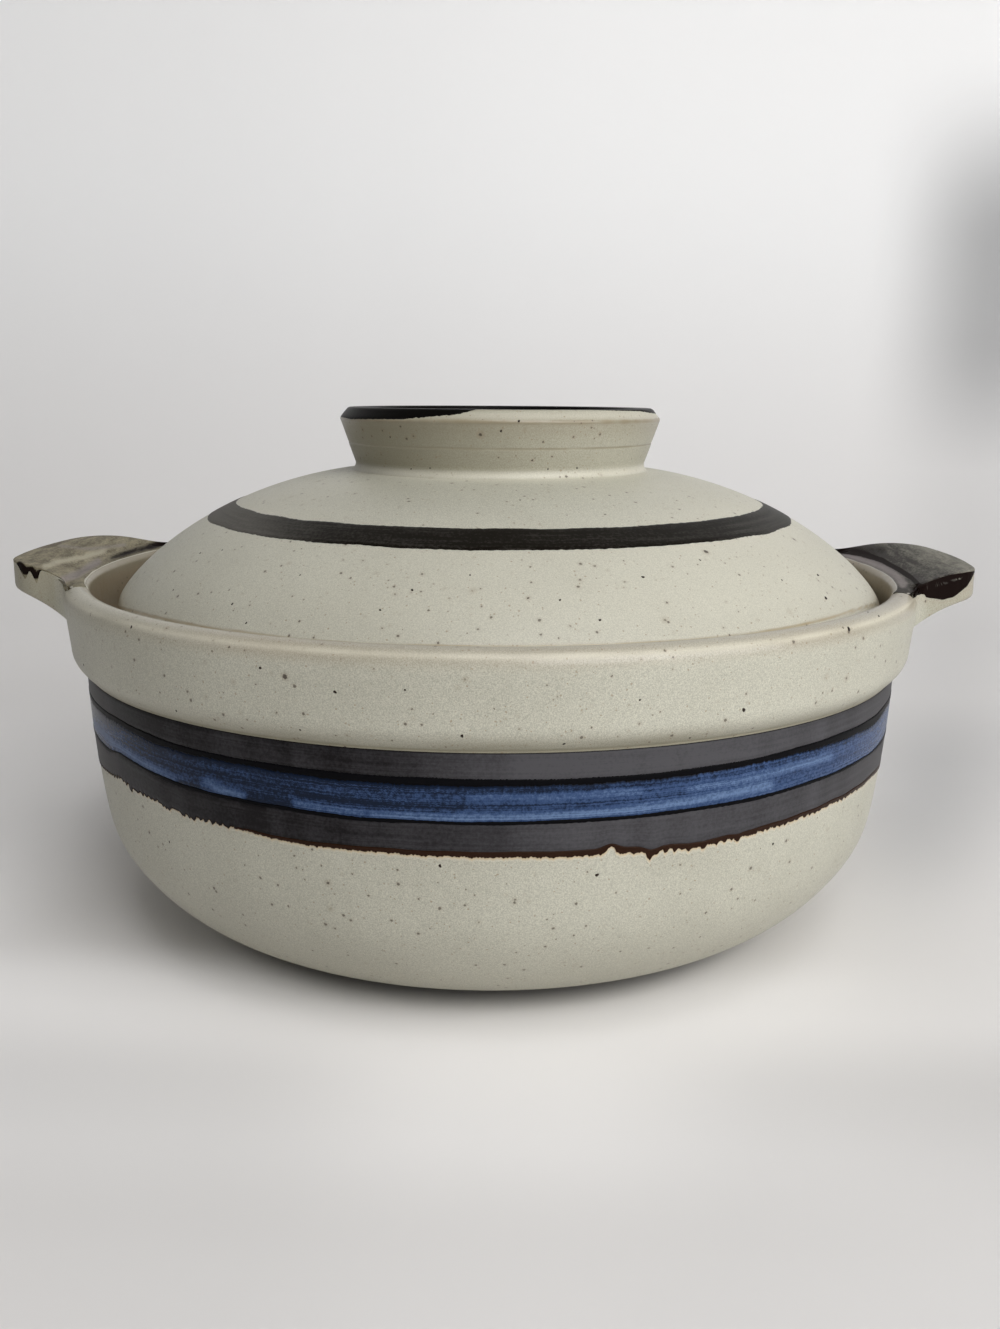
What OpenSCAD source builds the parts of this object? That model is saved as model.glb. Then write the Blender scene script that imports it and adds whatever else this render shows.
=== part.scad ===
// Stoneware casserole dish with two flat lugs and a domed lid that sinks into a wide collar.
// Millimetres. The table is z = 0, the pot's axis is Z and the lugs point along X.

/* [Bowl] */
// Outer radius of the wall, right under the collar
bowl_r = 122.7; // [112:0.1:135]
// Height of the rim's crest above the table
bowl_h = 104; // [98:0.5:115]
// Thickness of the wall
wall_t = 7.8; // [6:0.1:9]
// Thickness of the floor, above the hollow of the foot
floor_t = 7.6; // [6:0.1:9]
// Outer radius of the foot ring
foot_r = 72; // [60:0.5:80]
// Width of the foot ring
foot_w = 6.5; // [4:0.1:9]
// Height of the foot ring
foot_h = 3; // [2:0.1:4]

/* [Collar] */
// Height of the collar, from its lower edge to the rim's crest
collar_h = 24.6; // [22:0.1:28]
// How far the collar stands out from the wall, at its lower edge
collar_out = 4.2; // [3:0.1:6]
// How much further the collar leans out at its rim
collar_flare = 1.3; // [0.5:0.1:2.5]
// Thickness of the collar at the rim
rim_t = 7.4; // [6.5:0.1:8.5]
// Height of the rolled part of the rim
rim_h = 5.4; // [4:0.1:7]
// Depth of the gallery, from the rim's crest to the ledge that carries the lid
gallery_depth = 15; // [13:0.1:17]
// How far the ledge stands in from the wall of the gallery
ledge_w = 11.6; // [10:0.1:13]
// Thickness of the ledge
ledge_t = 6; // [5:0.1:7]
// Draft of the gallery's wall, from the rim down to the ledge
gallery_draft = 1; // [0.5:0.1:2]

/* [Lugs] */
// How far each lug reaches out from the rim
lug_out = 16.7; // [12:0.1:22]
// Width of a lug from one outer corner to the other
lug_tip_w = 66; // [46:0.5:76]
// Width of a lug where it meets the rim
lug_root_w = 88; // [76:0.5:100]
// Thickness of a lug at its tip
lug_tip_t = 8.5; // [6:0.1:10]
// How far the lug's underside starts below the rim's crest, at the collar
lug_root_drop = 11.6; // [9:0.1:13]
// How far the crease between the rim and the lug's top lies below the crest
lug_crease = 1.2; // [0.6:0.1:2]
// How far the lug's top climbs above the rim's crest, out at its tip
lug_rise = 4.5; // [2:0.1:7]
// Radius of the lug's two outer corners, seen from above
lug_corner_r = 9; // [5:0.5:12]

/* [Lid] */
// Gap all round between the lid's edge and the gallery's wall
lid_gap = 4.2; // [3.2:0.1:5]
// Height of the lid's upright edge
lid_edge_h = 8.2; // [6:0.1:10]
// Height of the lid's crown above its seat
lid_h = 46; // [40:0.5:54]
// Thickness of the lid
lid_t = 6.8; // [5.5:0.1:8]
// How far the lid rests from the middle of the gallery, to the right
lid_shift = 2.5; // [0:0.1:2.8]

/* [Knob] */
// Radius of the knob where it joins the lid
knob_foot_r = 43.4; // [36:0.1:46]
// Radius of the knob's shoulder, its widest ring
knob_r = 48.8; // [47:0.1:54]
// Height of the shoulder above the lid's crown
knob_shoulder_h = 15.6; // [12:0.1:20]
// Height of the bevel from the shoulder to the knob's top
knob_bevel_h = 3.2; // [1.5:0.1:4]
// Width of the bevel, seen from above
knob_bevel_w = 2.7; // [1.5:0.1:4]
// Width of the knob's flat top lip
knob_lip_w = 4.6; // [3:0.1:6]
// Thickness of the knob's wall at its foot
knob_wall_t = 7; // [5:0.1:9]
// Fillet where the knob joins the lid
knob_fillet = 2.4; // [1.5:0.1:4]

/* [Glaze coats] */
// Thickness of each coat of coloured glaze
coat_t = 0.4; // [0.3:0.05:0.8]
// Height of the bowl's upper iron band, under the collar
upper_iron_h = 5.6; // [4:0.1:7]
// Height of the black line over the cobalt band
upper_line_h = 1.9; // [1:0.1:3]
// Height of the cobalt band
cobalt_h = 9.3; // [7:0.1:12]
// Height of the black line under the cobalt band
lower_line_h = 1.2; // [0.8:0.1:2]
// Height of the bowl's lower iron band
lower_iron_h = 7.4; // [6:0.1:9]
// Height of the lid band's lower edge above the lid's seat
lid_band_up = 31.6; // [24:0.1:33]
// Height of the lid's band, measured upright
lid_band_h = 4.8; // [3:0.1:6]

/* [Hidden] */

// Gap between the lid's seat and the ledge
seat_clear = 0.3;
// Overrun of a cut past the surface that it opens
over = 2;
// Rounding of the edges that the potter wipes
wipe_r = 0.8;
// Steps along a long curve and a short one, and round each turned piece
long_n = 14;
short_n = 6;
round_n = 180;

stone = "#C6C4B4";
iron = "#4A4544";
line_black = "#1D1A1B";
cobalt = "#3F5F97";
lid_iron = "#2E2926";
lug_olive = "#8A8274";
lug_charcoal = "#4E4B46";

// Curves, each with its four control points as shares of the way from one end to the other
belly_shares = [[0, 0], [0.649, -0.137], [0.985, 0.877], [1, 1]];
wall_shares = [[0, 0], [0.444, 0.216], [0.933, 0.653], [1, 1]];
tuck_shares = [[0, 0], [0.45, 0.22], [1, 0.52], [1, 1]];
rim_out_shares = [[0, 0], [0, 0.65], [0.28, 1], [1, 1]];
rim_in_shares = [[0, 0], [0.6, 0], [1, 0.4], [1, 1]];
ledge_shares = [[0, 0], [0, 0.35], [1, 0.45], [1, 1]];
floor_shares = [[0, 0], [0.75, 0], [0.98, 0.7], [1, 1]];
dome_shares = [[0, 0], [0.041, 0.233], [0.422, 0.905], [1, 1]];
fillet_shares = [[0, 0], [0.55, 0], [1, 0.45], [1, 1]];
lug_top_shares = [[0, 0], [0.25, 0.3], [0.45, 0.92], [1, 1]];
lug_under_shares = [[0, 0], [0.3, 0.4], [0.55, 0.9], [1, 1]];
// Where the belly's curve meets the wall: shares of the wall's radius and of its height
belly_r_share = 0.963;
belly_h_share = 0.409;
// Height of the tuck under the collar, as a share of the collar's height
tuck_share = 0.28;
// How far the crest lies in from the rim's outside, as a share of the rim's thickness
crest_share = 0.6;
// Where the rim's inner curve ends above the roll's start, as a share of the roll's height
rim_in_end_share = 0.55;
// Where the dome goes flat, as a share of the lid's radius
crown_share = 0.363;
// How much the ledge's underside drops for each unit that it goes out
ledge_slope = 1.6;
// How far the inside lies above the outside at the belly, as a share of the wall's thickness
inner_lift_share = 0.25;

// Point at t on the cubic curve with the control points p
function cubic(p, t) =
  pow(1 - t, 3) * p[0] + 3 * pow(1 - t, 2) * t * p[1]
  + 3 * (1 - t) * pow(t, 2) * p[2] + pow(t, 3) * p[3];
// Points of the curve that runs from a to b, shaped by its shares, without its first point
function sweep(shares, a, b, n) =
  [for (i = [1:n]) let(s = cubic(shares, i / n)) [a[0] + s[0] * (b[0] - a[0]), a[1] + s[1] * (b[1] - a[1])]];
function reversed(list) = [for (i = [len(list) - 1:-1:0]) list[i]];
// The shares of the same curve run the other way
function back(shares) = [for (s = reversed(shares)) [1 - s[0], 1 - s[1]]];
// An outline moved inwards and down
function sunk(list, in, down) = [for (p = list) [max(0, p[0] - in), p[1] - down]];

// Heights and radii that follow from the sizes above
collar_z = bowl_h - collar_h;
collar_r = bowl_r + collar_out;
rim_r = collar_r + collar_flare;
rim_z = bowl_h - rim_h;
crest_r = rim_r - crest_share * rim_t;
ledge_z = bowl_h - gallery_depth;
gallery_top_r = rim_r - rim_t;
gallery_r = gallery_top_r - gallery_draft;
ledge_r = gallery_r - ledge_w;
inner_r = bowl_r - wall_t;
under_ledge_z = ledge_z - ledge_t - (inner_r - ledge_r) * ledge_slope;
belly = [belly_r_share * bowl_r, belly_h_share * collar_z];
inner_belly = belly + [-wall_t, inner_lift_share * wall_t];
floor_z = foot_h + floor_t;
seat_z = ledge_z + seat_clear;
lid_r = gallery_r - lid_gap;
lid_in_r = lid_r - lid_t;
lid_edge_z = seat_z + lid_edge_h;
crown_z = seat_z + lid_h;
shoulder_z = crown_z + knob_shoulder_h;
knob_top_z = shoulder_z + knob_bevel_h;

// The bowl's outside, from the foot up to the collar, then over the rim's crest
wall_up = concat(
  [[foot_r, foot_h]],
  sweep(belly_shares, [foot_r, foot_h], belly, long_n),
  sweep(wall_shares, belly, [bowl_r, collar_z], long_n));
collar_up = concat(
  sweep(tuck_shares, [bowl_r, collar_z], [collar_r, collar_z + tuck_share * collar_h], short_n),
  [[rim_r, rim_z]],
  sweep(rim_out_shares, [rim_r, rim_z], [crest_r, bowl_h], short_n));
// The bowl's inside, from the crest down the gallery and over the ledge to the floor
inside_down = concat(
  sweep(rim_in_shares, [crest_r, bowl_h], [gallery_top_r, rim_z + rim_in_end_share * rim_h], short_n),
  [[gallery_r, ledge_z + wipe_r], [gallery_r - wipe_r, ledge_z],
   [ledge_r + wipe_r, ledge_z], [ledge_r, ledge_z - wipe_r]],
  sweep(ledge_shares, [ledge_r, ledge_z - wipe_r], [inner_r, under_ledge_z], short_n),
  sweep(back(wall_shares), [inner_r, under_ledge_z], inner_belly, short_n),
  sweep(back(floor_shares), inner_belly, [foot_r - wall_t, floor_z], long_n));
foot_out = [
  [0, foot_h], [foot_r - foot_w, foot_h], [foot_r - foot_w, wipe_r], [foot_r - foot_w + wipe_r, 0],
  [foot_r - wipe_r, 0], [foot_r, wipe_r]
];
bowl_section = concat(foot_out, wall_up, collar_up, inside_down, [[0, floor_z]]);
bowl_solid = concat([[0, foot_h]], wall_up, collar_up, [[0, bowl_h]]);

// The lid's dome over a radius, from its edge to its crown
function dome(r, top_z) =
  concat([[r, lid_edge_z]], sweep(dome_shares, [r, lid_edge_z], [crown_share * r, top_z], 2 * long_n));
dome_solid = concat([[0, seat_z], [lid_r, seat_z]], dome(lid_r, crown_z), [[0, crown_z]]);
lid_section = concat(
  [[lid_in_r, seat_z + wipe_r], [lid_in_r + wipe_r, seat_z],
   [lid_r - wipe_r, seat_z], [lid_r, seat_z + wipe_r]],
  dome(lid_r, crown_z),
  [[0, crown_z], [0, crown_z - lid_t]],
  reversed(dome(lid_in_r, crown_z - lid_t)));

// The knob flares up to its shoulder, then a bevel turns in to the flat lip
knob_top_r = knob_r - knob_bevel_w;
knob_in_r = knob_top_r - knob_lip_w;
flare_r = knob_foot_r + (knob_r - knob_foot_r) * knob_fillet / knob_shoulder_h;
knob_section = concat(
  [[knob_foot_r - knob_wall_t, crown_z - over], [knob_foot_r + knob_fillet, crown_z - over],
   [knob_foot_r + knob_fillet, crown_z]],
  sweep(fillet_shares, [knob_foot_r + knob_fillet, crown_z], [flare_r, crown_z + knob_fillet], short_n),
  [[knob_r, shoulder_z - wipe_r], [knob_r, shoulder_z],
   [knob_top_r, knob_top_z - wipe_r], [knob_top_r - wipe_r, knob_top_z],
   [knob_in_r + wipe_r, knob_top_z], [knob_in_r, knob_top_z - wipe_r]]);

// A half section turned round the pot's axis
module turned(section) { rotate_extrude($fn = round_n) polygon(section); }

// A disc between two heights, wide enough to cut the whole pot
module slab(z0, z1) { translate([0, 0, z0]) cylinder(r = rim_r + over, h = z1 - z0, $fn = round_n); }

// The coloured coats of the bowl hang from the collar, one under the other
iron_z = collar_z - upper_iron_h;
line_z = iron_z - upper_line_h;
cobalt_z = line_z - cobalt_h;
low_line_z = cobalt_z - lower_line_h;
low_iron_z = low_line_z - lower_iron_h;

// What lies behind the coats
module wall_core() { turned(concat([[0, foot_h]], sunk(wall_up, coat_t, 0), [[0, collar_z]])); }

// The bowl's wall between two heights, one coat deep
module wall_coat(z0, z1) {
  difference() {
    intersection() {
      turned(concat([[0, foot_h]], wall_up, [[0, collar_z]]));
      slab(z0, z1);
    }
    wall_core();
  }
}

module bowl_body() {
  color(stone) difference() {
    turned(bowl_section);
    difference() {
      slab(low_iron_z, collar_z);
      wall_core();
    }
  }
}

module upper_iron_band() { color(iron) wall_coat(iron_z, collar_z); }
module upper_black_line() { color(line_black) wall_coat(line_z, iron_z); }
module cobalt_band() { color(cobalt) wall_coat(cobalt_z, line_z); }
module lower_black_line() { color(line_black) wall_coat(low_line_z, cobalt_z); }
module lower_iron_band() { color(iron) wall_coat(low_iron_z, low_line_z); }

// A lug is a wedge turned round the collar and trimmed to the lug's outline from above
lug_tip_r = rim_r + lug_out;
lug_tip_z = bowl_h + lug_rise;
lug_top = concat(
  [[crest_r, bowl_h - lug_crease]],
  sweep(lug_top_shares, [crest_r, bowl_h - lug_crease], [lug_tip_r, lug_tip_z], long_n));
lug_under = concat(
  [[crest_r, bowl_h - lug_root_drop], [collar_r, bowl_h - lug_root_drop]],
  sweep(lug_under_shares, [collar_r, bowl_h - lug_root_drop], [lug_tip_r, lug_tip_z - lug_tip_t], long_n));

// Outline of the right lug from above: straight sides run tangent into round corners, and these run tangent
// into the tip. The tip itself is the wedge's round end, so the outline passes it and meets in a point outside.
module lug_outline() {
  root = [sqrt(pow(crest_r, 2) - pow(lug_root_w / 2, 2)), lug_root_w / 2];
  corner_y = lug_tip_w / 2 - lug_corner_r;
  corner = [sqrt(pow(lug_tip_r - lug_corner_r, 2) - pow(corner_y, 2)), corner_y];
  tip_turn = asin(corner_y / (lug_tip_r - lug_corner_r));
  away = corner - root;
  slant = atan2(-away[1], away[0]) - asin(lug_corner_r / norm(away));
  round_corner = [for (i = [0:long_n]) let(a = slant + (90 - tip_turn - slant) * i / long_n)
    corner + lug_corner_r * [sin(a), cos(a)]];
  half = concat([[0, root[1]], root], round_corner, [[lug_tip_r / cos(tip_turn), 0]]);
  other_half = [for (i = [len(half) - 2:-1:0]) [half[i][0], -half[i][1]]];
  polygon(concat(half, other_half));
}

// What the lug's outline holds between two curves, outside the bowl
module lug_between(top, under) {
  difference() {
    intersection() {
      turned(concat(reversed(top), under));
      linear_extrude(height = lug_tip_z + over) lug_outline();
    }
    turned(bowl_solid);
  }
}
module lug() { lug_between(sunk(lug_top, 0, coat_t), lug_under); }
module lug_glaze() { lug_between(lug_top, sunk(lug_top, 0, coat_t)); }

module lug_right() { color(stone) lug(); }
module lug_left() { color(stone) rotate([0, 0, 180]) lug(); }
module lug_glaze_right() { color(lug_charcoal) lug_glaze(); }
module lug_glaze_left() { color(lug_olive) rotate([0, 0, 180]) lug_glaze(); }

// The lid's band lies in a shallow ring round the dome
lid_band_z = seat_z + lid_band_up;
module lid_band_ring(above) {
  difference() {
    intersection() {
      turned(sunk(dome_solid, 0, -above));
      slab(lid_band_z, lid_band_z + lid_band_h);
    }
    turned(sunk(dome_solid, 0, coat_t));
  }
}
module lid_dome() {
  color(stone) translate([lid_shift, 0, 0]) difference() {
    turned(lid_section);
    lid_band_ring(over);
  }
}
module lid_iron_band() { color(lid_iron) translate([lid_shift, 0, 0]) lid_band_ring(0); }

// The knob between two heights, standing on the dome
module knob_between(z0, z1) {
  translate([lid_shift, 0, 0]) difference() {
    intersection() {
      turned(knob_section);
      slab(z0, z1);
    }
    turned(dome_solid);
  }
}
module knob_ring() { color(stone) knob_between(crown_z - over, knob_top_z - coat_t); }
module knob_rim_glaze() { color(line_black) knob_between(knob_top_z - coat_t, knob_top_z); }

bowl_body();
lug_left();
lug_right();
upper_iron_band();
upper_black_line();
cobalt_band();
lower_black_line();
lower_iron_band();
lug_glaze_left();
lug_glaze_right();
lid_dome();
lid_iron_band();
knob_ring();
knob_rim_glaze();
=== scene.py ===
# %% [markdown]
# This script dresses the solid model of a round stoneware casserole in Blender. Each new piece stands
# for one solid, at the same place.

import bpy
import numpy as np
from mathutils import Matrix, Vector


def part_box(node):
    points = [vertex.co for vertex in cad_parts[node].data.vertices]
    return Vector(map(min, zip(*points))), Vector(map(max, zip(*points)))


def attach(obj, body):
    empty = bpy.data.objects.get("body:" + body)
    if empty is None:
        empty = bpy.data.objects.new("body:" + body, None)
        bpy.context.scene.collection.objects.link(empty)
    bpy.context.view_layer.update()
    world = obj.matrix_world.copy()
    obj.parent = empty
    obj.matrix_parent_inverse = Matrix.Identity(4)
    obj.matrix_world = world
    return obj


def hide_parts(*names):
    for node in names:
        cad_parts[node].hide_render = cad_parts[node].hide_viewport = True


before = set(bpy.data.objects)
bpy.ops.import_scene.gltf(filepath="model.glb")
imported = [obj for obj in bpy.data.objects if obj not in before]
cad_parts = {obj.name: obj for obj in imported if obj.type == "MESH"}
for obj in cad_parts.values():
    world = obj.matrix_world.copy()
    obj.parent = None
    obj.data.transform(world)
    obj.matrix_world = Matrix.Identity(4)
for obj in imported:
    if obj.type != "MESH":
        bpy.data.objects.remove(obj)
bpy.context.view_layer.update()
MM = 0.001

# %% [markdown]
# The main sizes are read from the solids, so that the dressed pot always fits them. Only details that the
# solids don't have, such as a drip of glaze, get sizes of their own here, in millimetres.

# %% Sizes from the frame
bowl_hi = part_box("bowl_body")[1]
wall_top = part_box("upper_iron_band")[1]
lug_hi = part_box("lug_right")[1]
dome_lo, dome_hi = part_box("lid_dome")
knob_lo, knob_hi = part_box("knob_ring")

RIM_R, BOWL_TOP = min(bowl_hi.x, bowl_hi.y), bowl_hi.z
BOWL_R, COLLAR_Z = wall_top.x, wall_top.z
TIP_X = lug_hi.x
LID_X = (dome_lo.x + dome_hi.x) / 2
LID_R = (dome_hi.x - dome_lo.x) / 2
SEAT_Z, CROWN_Z = dome_lo.z, dome_hi.z
KNOB_R = (knob_hi.x - knob_lo.x) / 2
KNOB_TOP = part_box("knob_rim_glaze")[1].z
print("rim radius and bowl height, mm:", round(RIM_R / MM, 2), round(BOWL_TOP / MM, 2))
print("lid radius and shift, mm:", round(LID_R / MM, 2), round(LID_X / MM, 2))

# %% [markdown]
# The camera comes first, because some details of the glaze are placed by where they are seen in the
# picture. It looks a little down at the pot from about 40 cm, nearly square on to the side between the
# lugs. A camera's matrix holds its own axes as columns: right, up, and the way back from the view.

# %% The camera
PHOTO_W, PHOTO_H = 1000, 1329
FOCAL_PX = 1336.5
SENSOR = 36.0
CAMERA_OUT, CAMERA_UP = 415.9 * MM, 163.75 * MM
PITCH, ROLL, YAW, TURN = np.radians([12.31, 0.327, 0.400, 2.2])

level = np.array([np.cos(YAW), -np.sin(YAW), 0.0])
ahead = np.array([np.sin(YAW) * np.cos(PITCH), np.cos(YAW) * np.cos(PITCH), -np.sin(PITCH)])
raised = np.array([np.sin(YAW) * np.sin(PITCH), np.cos(YAW) * np.sin(PITCH), np.cos(PITCH)])
axes = np.stack([
    level * np.cos(ROLL) + raised * np.sin(ROLL),
    raised * np.cos(ROLL) - level * np.sin(ROLL),
    -ahead,
], axis=1)
round_z = np.array([[np.cos(TURN), -np.sin(TURN), 0], [np.sin(TURN), np.cos(TURN), 0], [0, 0, 1]])
axes = round_z @ axes
eye = round_z @ np.array([0.0, -CAMERA_OUT, CAMERA_UP])


def matrix_of(right, up, way_back, place):
    """Matrix whose columns are an object's own axes and its place."""
    return Matrix([*np.stack([right, up, way_back, place], 1).tolist(), [0, 0, 0, 1]])


camera = bpy.data.objects.new("photo_camera", bpy.data.cameras.new("photo_camera"))
camera.data.sensor_width = SENSOR
camera.data.lens = FOCAL_PX / PHOTO_H * SENSOR
camera.data.clip_start, camera.data.clip_end = 0.01, 20
camera.matrix_world = matrix_of(*axes.T, eye)
bpy.context.scene.collection.objects.link(camera)
bpy.context.scene.camera = camera
print("lens, mm:", round(camera.data.lens, 2), "eye, mm:", (eye / MM).round(1))

# %% [markdown]
# A thrown pot is a half section turned round the wheel's axis. The section is a chain of runs: straight
# lines and cubic curves. A curve's two handles are given as shares of the way from its start to its end,
# so the curve keeps its character when the sizes change. Where two runs meet, the corner is eased,
# because glaze rounds every edge.


# %% Runs of a half section
def line(start, end, count=6):
    """Points at equal steps on the straight line from start to end."""
    t = np.linspace(0, 1, count)[:, None]
    return np.array(start) * (1 - t) + np.array(end) * t


def bend(start, end, shares, count=24):
    """Cubic curve from start to end. Each share says how far a handle lies along the width and along the
    height."""
    start, end = np.array(start), np.array(end)
    t = np.linspace(0, 1, count)[:, None]
    weights = np.hstack([(1 - t) ** 3, 3 * t * (1 - t) ** 2, 3 * t**2 * (1 - t), t**3])
    return start + (weights @ np.array([(0, 0), *shares, (1, 1)])) * (end - start)


def cut_back(run, reach):
    """The run without its last piece of length reach, ending exactly there."""
    left = np.r_[np.cumsum(np.hypot(*np.diff(run[::-1], axis=0).T))[::-1], 0]
    kept = run[left > reach * 1.02]
    last = [np.interp(-reach, -left, run[:, i]) for i in range(2)]
    return np.vstack([kept, last])


def chain(*steps):
    """Joins runs into one. A number between two runs eases their corner by that reach: both are cut back
    by it, and the curve (1-t)^2 a + 2t(1-t) corner + t^2 b goes round the corner."""
    made = steps[0]
    for reach, run in zip(steps[1::2], steps[2::2]):
        if reach:
            corner = made[-1]
            made = cut_back(made, reach)
            run = cut_back(run[::-1], reach)[::-1]
            t = np.linspace(0, 1, 7)[1:-1, None]
            bow = (1 - t) ** 2 * made[-1] + 2 * t * (1 - t) * corner + t**2 * run[0]
            made = np.vstack([made, bow, run])
        else:
            made = np.vstack([made, run[1:]])
    return made


def back(shares):
    """The shares of the same curve run the other way."""
    (a, b), (c, d) = shares
    return [(1 - c, 1 - d), (1 - a, 1 - b)]


def evened(run, reach, count):
    """The run at equal steps, each point a mean of its surroundings. The weights 1 + cos fade out at the
    reach, and the reach shrinks towards both ends, so that the ends stay."""
    way = np.r_[0, np.cumsum(np.hypot(*np.diff(run, axis=0).T))]
    at = np.linspace(0, way[-1], count)
    near = np.minimum(np.minimum(at, way[-1] - at), reach)
    offset = np.linspace(-1, 1, 25)
    weight = 1 + np.cos(np.pi * offset)
    weight = weight / weight.sum()
    around_it = at[:, None] + near[:, None] * offset
    return np.stack([np.interp(around_it, way, run[:, i]) @ weight for i in range(2)], -1)


# %% [markdown]
# Every surface here is a grid of points. One builder turns a grid into a mesh: it joins each point with
# its neighbours, wraps round where the grid is closed, and shuts an open end with a fan of triangles to
# one point. It measures the volume, and turns the faces round if that comes out negative, so they always
# point outwards.


# %% Grid to mesh
def volume_of(points, faces):
    """Six volumes of tetrahedra from the origin, summed over each face's fan and divided by six."""
    total = 0.0
    for tri in ([0, 1, 2], [0, 2, 3]) if faces.shape[1] == 4 else ([0, 1, 2],):
        a, b, c = (points[faces[:, k]] for k in tri)
        total += np.einsum("ij,ij->i", a, np.cross(b, c)).sum() / 6
    return total


def quads_of(index):
    """Faces between neighbouring rows and columns of a grid of point numbers."""
    corners = [index[:-1, :-1], index[:-1, 1:], index[1:, 1:], index[1:, :-1]]
    return np.stack(corners, -1).reshape(-1, 4)


def smooth_object(name, points, faces):
    """A smoothly shaded object from points and faces, in the scene."""
    mesh = bpy.data.meshes.new(name)
    mesh.from_pydata(points.tolist(), [], faces)
    mesh.polygons.foreach_set("use_smooth", np.ones(len(faces), bool))
    piece = bpy.data.objects.new(name, mesh)
    bpy.context.scene.collection.objects.link(piece)
    return piece


def surface(name, grid, wrap_rows=False, wrap_cols=False, poles=None, marks=None):
    """A mesh piece from a grid of points (rows, columns, 3). poles are the two points that close the
    first and the last row. marks are values kept at the points under a name, which the materials read."""
    rows, cols, _ = grid.shape
    index = np.arange(rows * cols).reshape(rows, cols)
    if wrap_rows:
        index = np.vstack([index, index[:1]])
    if wrap_cols:
        index = np.hstack([index, index[:, :1]])
    quads = quads_of(index)
    points = grid.reshape(-1, 3)
    fans = np.empty((0, 3), int)
    if poles is not None:
        first, last = rows * cols, rows * cols + 1
        points = np.vstack([points, *[np.reshape(p, (1, 3)) for p in poles]])
        a, b = index[0], index[-1]
        fans = np.vstack([
            np.stack([np.full(len(a) - 1, first), a[1:], a[:-1]], -1),
            np.stack([np.full(len(b) - 1, last), b[:-1], b[1:]], -1),
        ])
    if volume_of(points, quads) + volume_of(points, fans) < 0:
        quads, fans = quads[:, ::-1], fans[:, ::-1]
    piece = smooth_object(name, points, quads.tolist() + fans.tolist())
    for key, values in (marks or {}).items():
        flat = values.reshape(rows * cols, 3)
        if poles is not None:
            flat = np.vstack([flat, values[0].mean(0)[None], values[-1].mean(0)[None]])
        layer = piece.data.attributes.new(key, "FLOAT_VECTOR", "POINT")
        layer.data.foreach_set("vector", flat.astype(np.float32).ravel())
    piece.data.update()
    print(f"{name}: {len(quads) + len(fans)} faces")
    return piece


def stands_for(piece, body, slot, *nodes):
    """The piece moves with a body and stands for these solids, which it hides; slot is not used."""
    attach(piece, body)
    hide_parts(*nodes)
    return piece


# %% [markdown]
# Turning the section needs one more thing: no pot is perfectly round. The wheel and the drying clay leave
# it a few tenths of a millimetre out of true, with slow waves round the pot. All pieces of the bowl share
# the same waves, so that the bands of glaze follow the wall exactly.

# %% Turning a section
OVAL, THREE_LOBED = 0.0011, 0.0006


def out_of_true(angle, z):
    """Share of the radius that is left at an angle: one minus a wave of two lobes and a wave of three."""
    two = OVAL * (1 + np.cos(2 * angle - 0.6)) / 2
    three = THREE_LOBED * (1 + np.cos(3 * angle + 1.1 + 9 * z / 0.1)) / 2
    return 1 - two - three


def around(count):
    """Angles of one turn, without the last one, which is the first one again."""
    return np.linspace(0, 2 * np.pi, count, endpoint=False)


def turned(radius, z, angle, axis_x=0.0):
    """Points (r cos a + axis, r sin a, z), with r taken out of true."""
    r = radius * out_of_true(angle, z)
    points = np.broadcast_arrays(r * np.cos(angle) + axis_x, r * np.sin(angle), z)
    return np.stack(points, -1)


def turn_section(name, section, count, axis_x=0.0, marks=None):
    """A section that starts and ends on the axis, turned into a closed piece."""
    angle = around(count)[None, :]
    inner = section[1:-1]
    grid = turned(inner[:, :1], inner[:, 1:], angle, axis_x)
    poles = [(axis_x, 0, section[0, 1]), (axis_x, 0, section[-1, 1])]
    values = {key: made(inner, angle) for key, made in (marks or {}).items()}
    return surface(name, grid, wrap_cols=True, poles=poles, marks=values)


# %% [markdown]
# The bowl is thrown with a narrow foot, a wide belly and a collar that stands out over the wall. Inside
# the collar runs a gallery with a ledge, where the lid sits. The whole section is one chain, from the
# middle of the underside out to the foot, up the outside, over the rim and down the inside to the middle
# of the floor.

# %% The bowl's section
WALL_T, FLOOR_T = 7.8 * MM, 7.6 * MM
FOOT_R, FOOT_W, FOOT_H = 72.0 * MM, 6.5 * MM, 3.0 * MM
COLLAR_R = BOWL_R + 4.2 * MM
TUCK_TOP = COLLAR_Z + 6.9 * MM
RIM_Z = BOWL_TOP - 5.4 * MM
CREST_R = RIM_R - 4.44 * MM
GALLERY_TOP = (RIM_R - 7.4 * MM, RIM_Z + 2.97 * MM)
LEDGE_Z = BOWL_TOP - 15.0 * MM
GALLERY_R, LEDGE_R = RIM_R - 8.4 * MM, RIM_R - 20.0 * MM
UNDER_LEDGE = (BOWL_R - WALL_T, LEDGE_Z - 16.72 * MM)
BELLY = (0.963 * BOWL_R, 0.409 * COLLAR_Z)
INNER_BELLY = (BELLY[0] - WALL_T, BELLY[1] + 1.95 * MM)
FLOOR = (FOOT_R - WALL_T, FOOT_H + FLOOR_T)
BELLY_BEND = [(0.649, -0.137), (0.985, 0.877)]
WALL_BEND = [(0.444, 0.216), (0.933, 0.653)]
FLOOR_BEND = [(0.75, 0), (0.98, 0.7)]
EASE = 0.8 * MM

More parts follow.
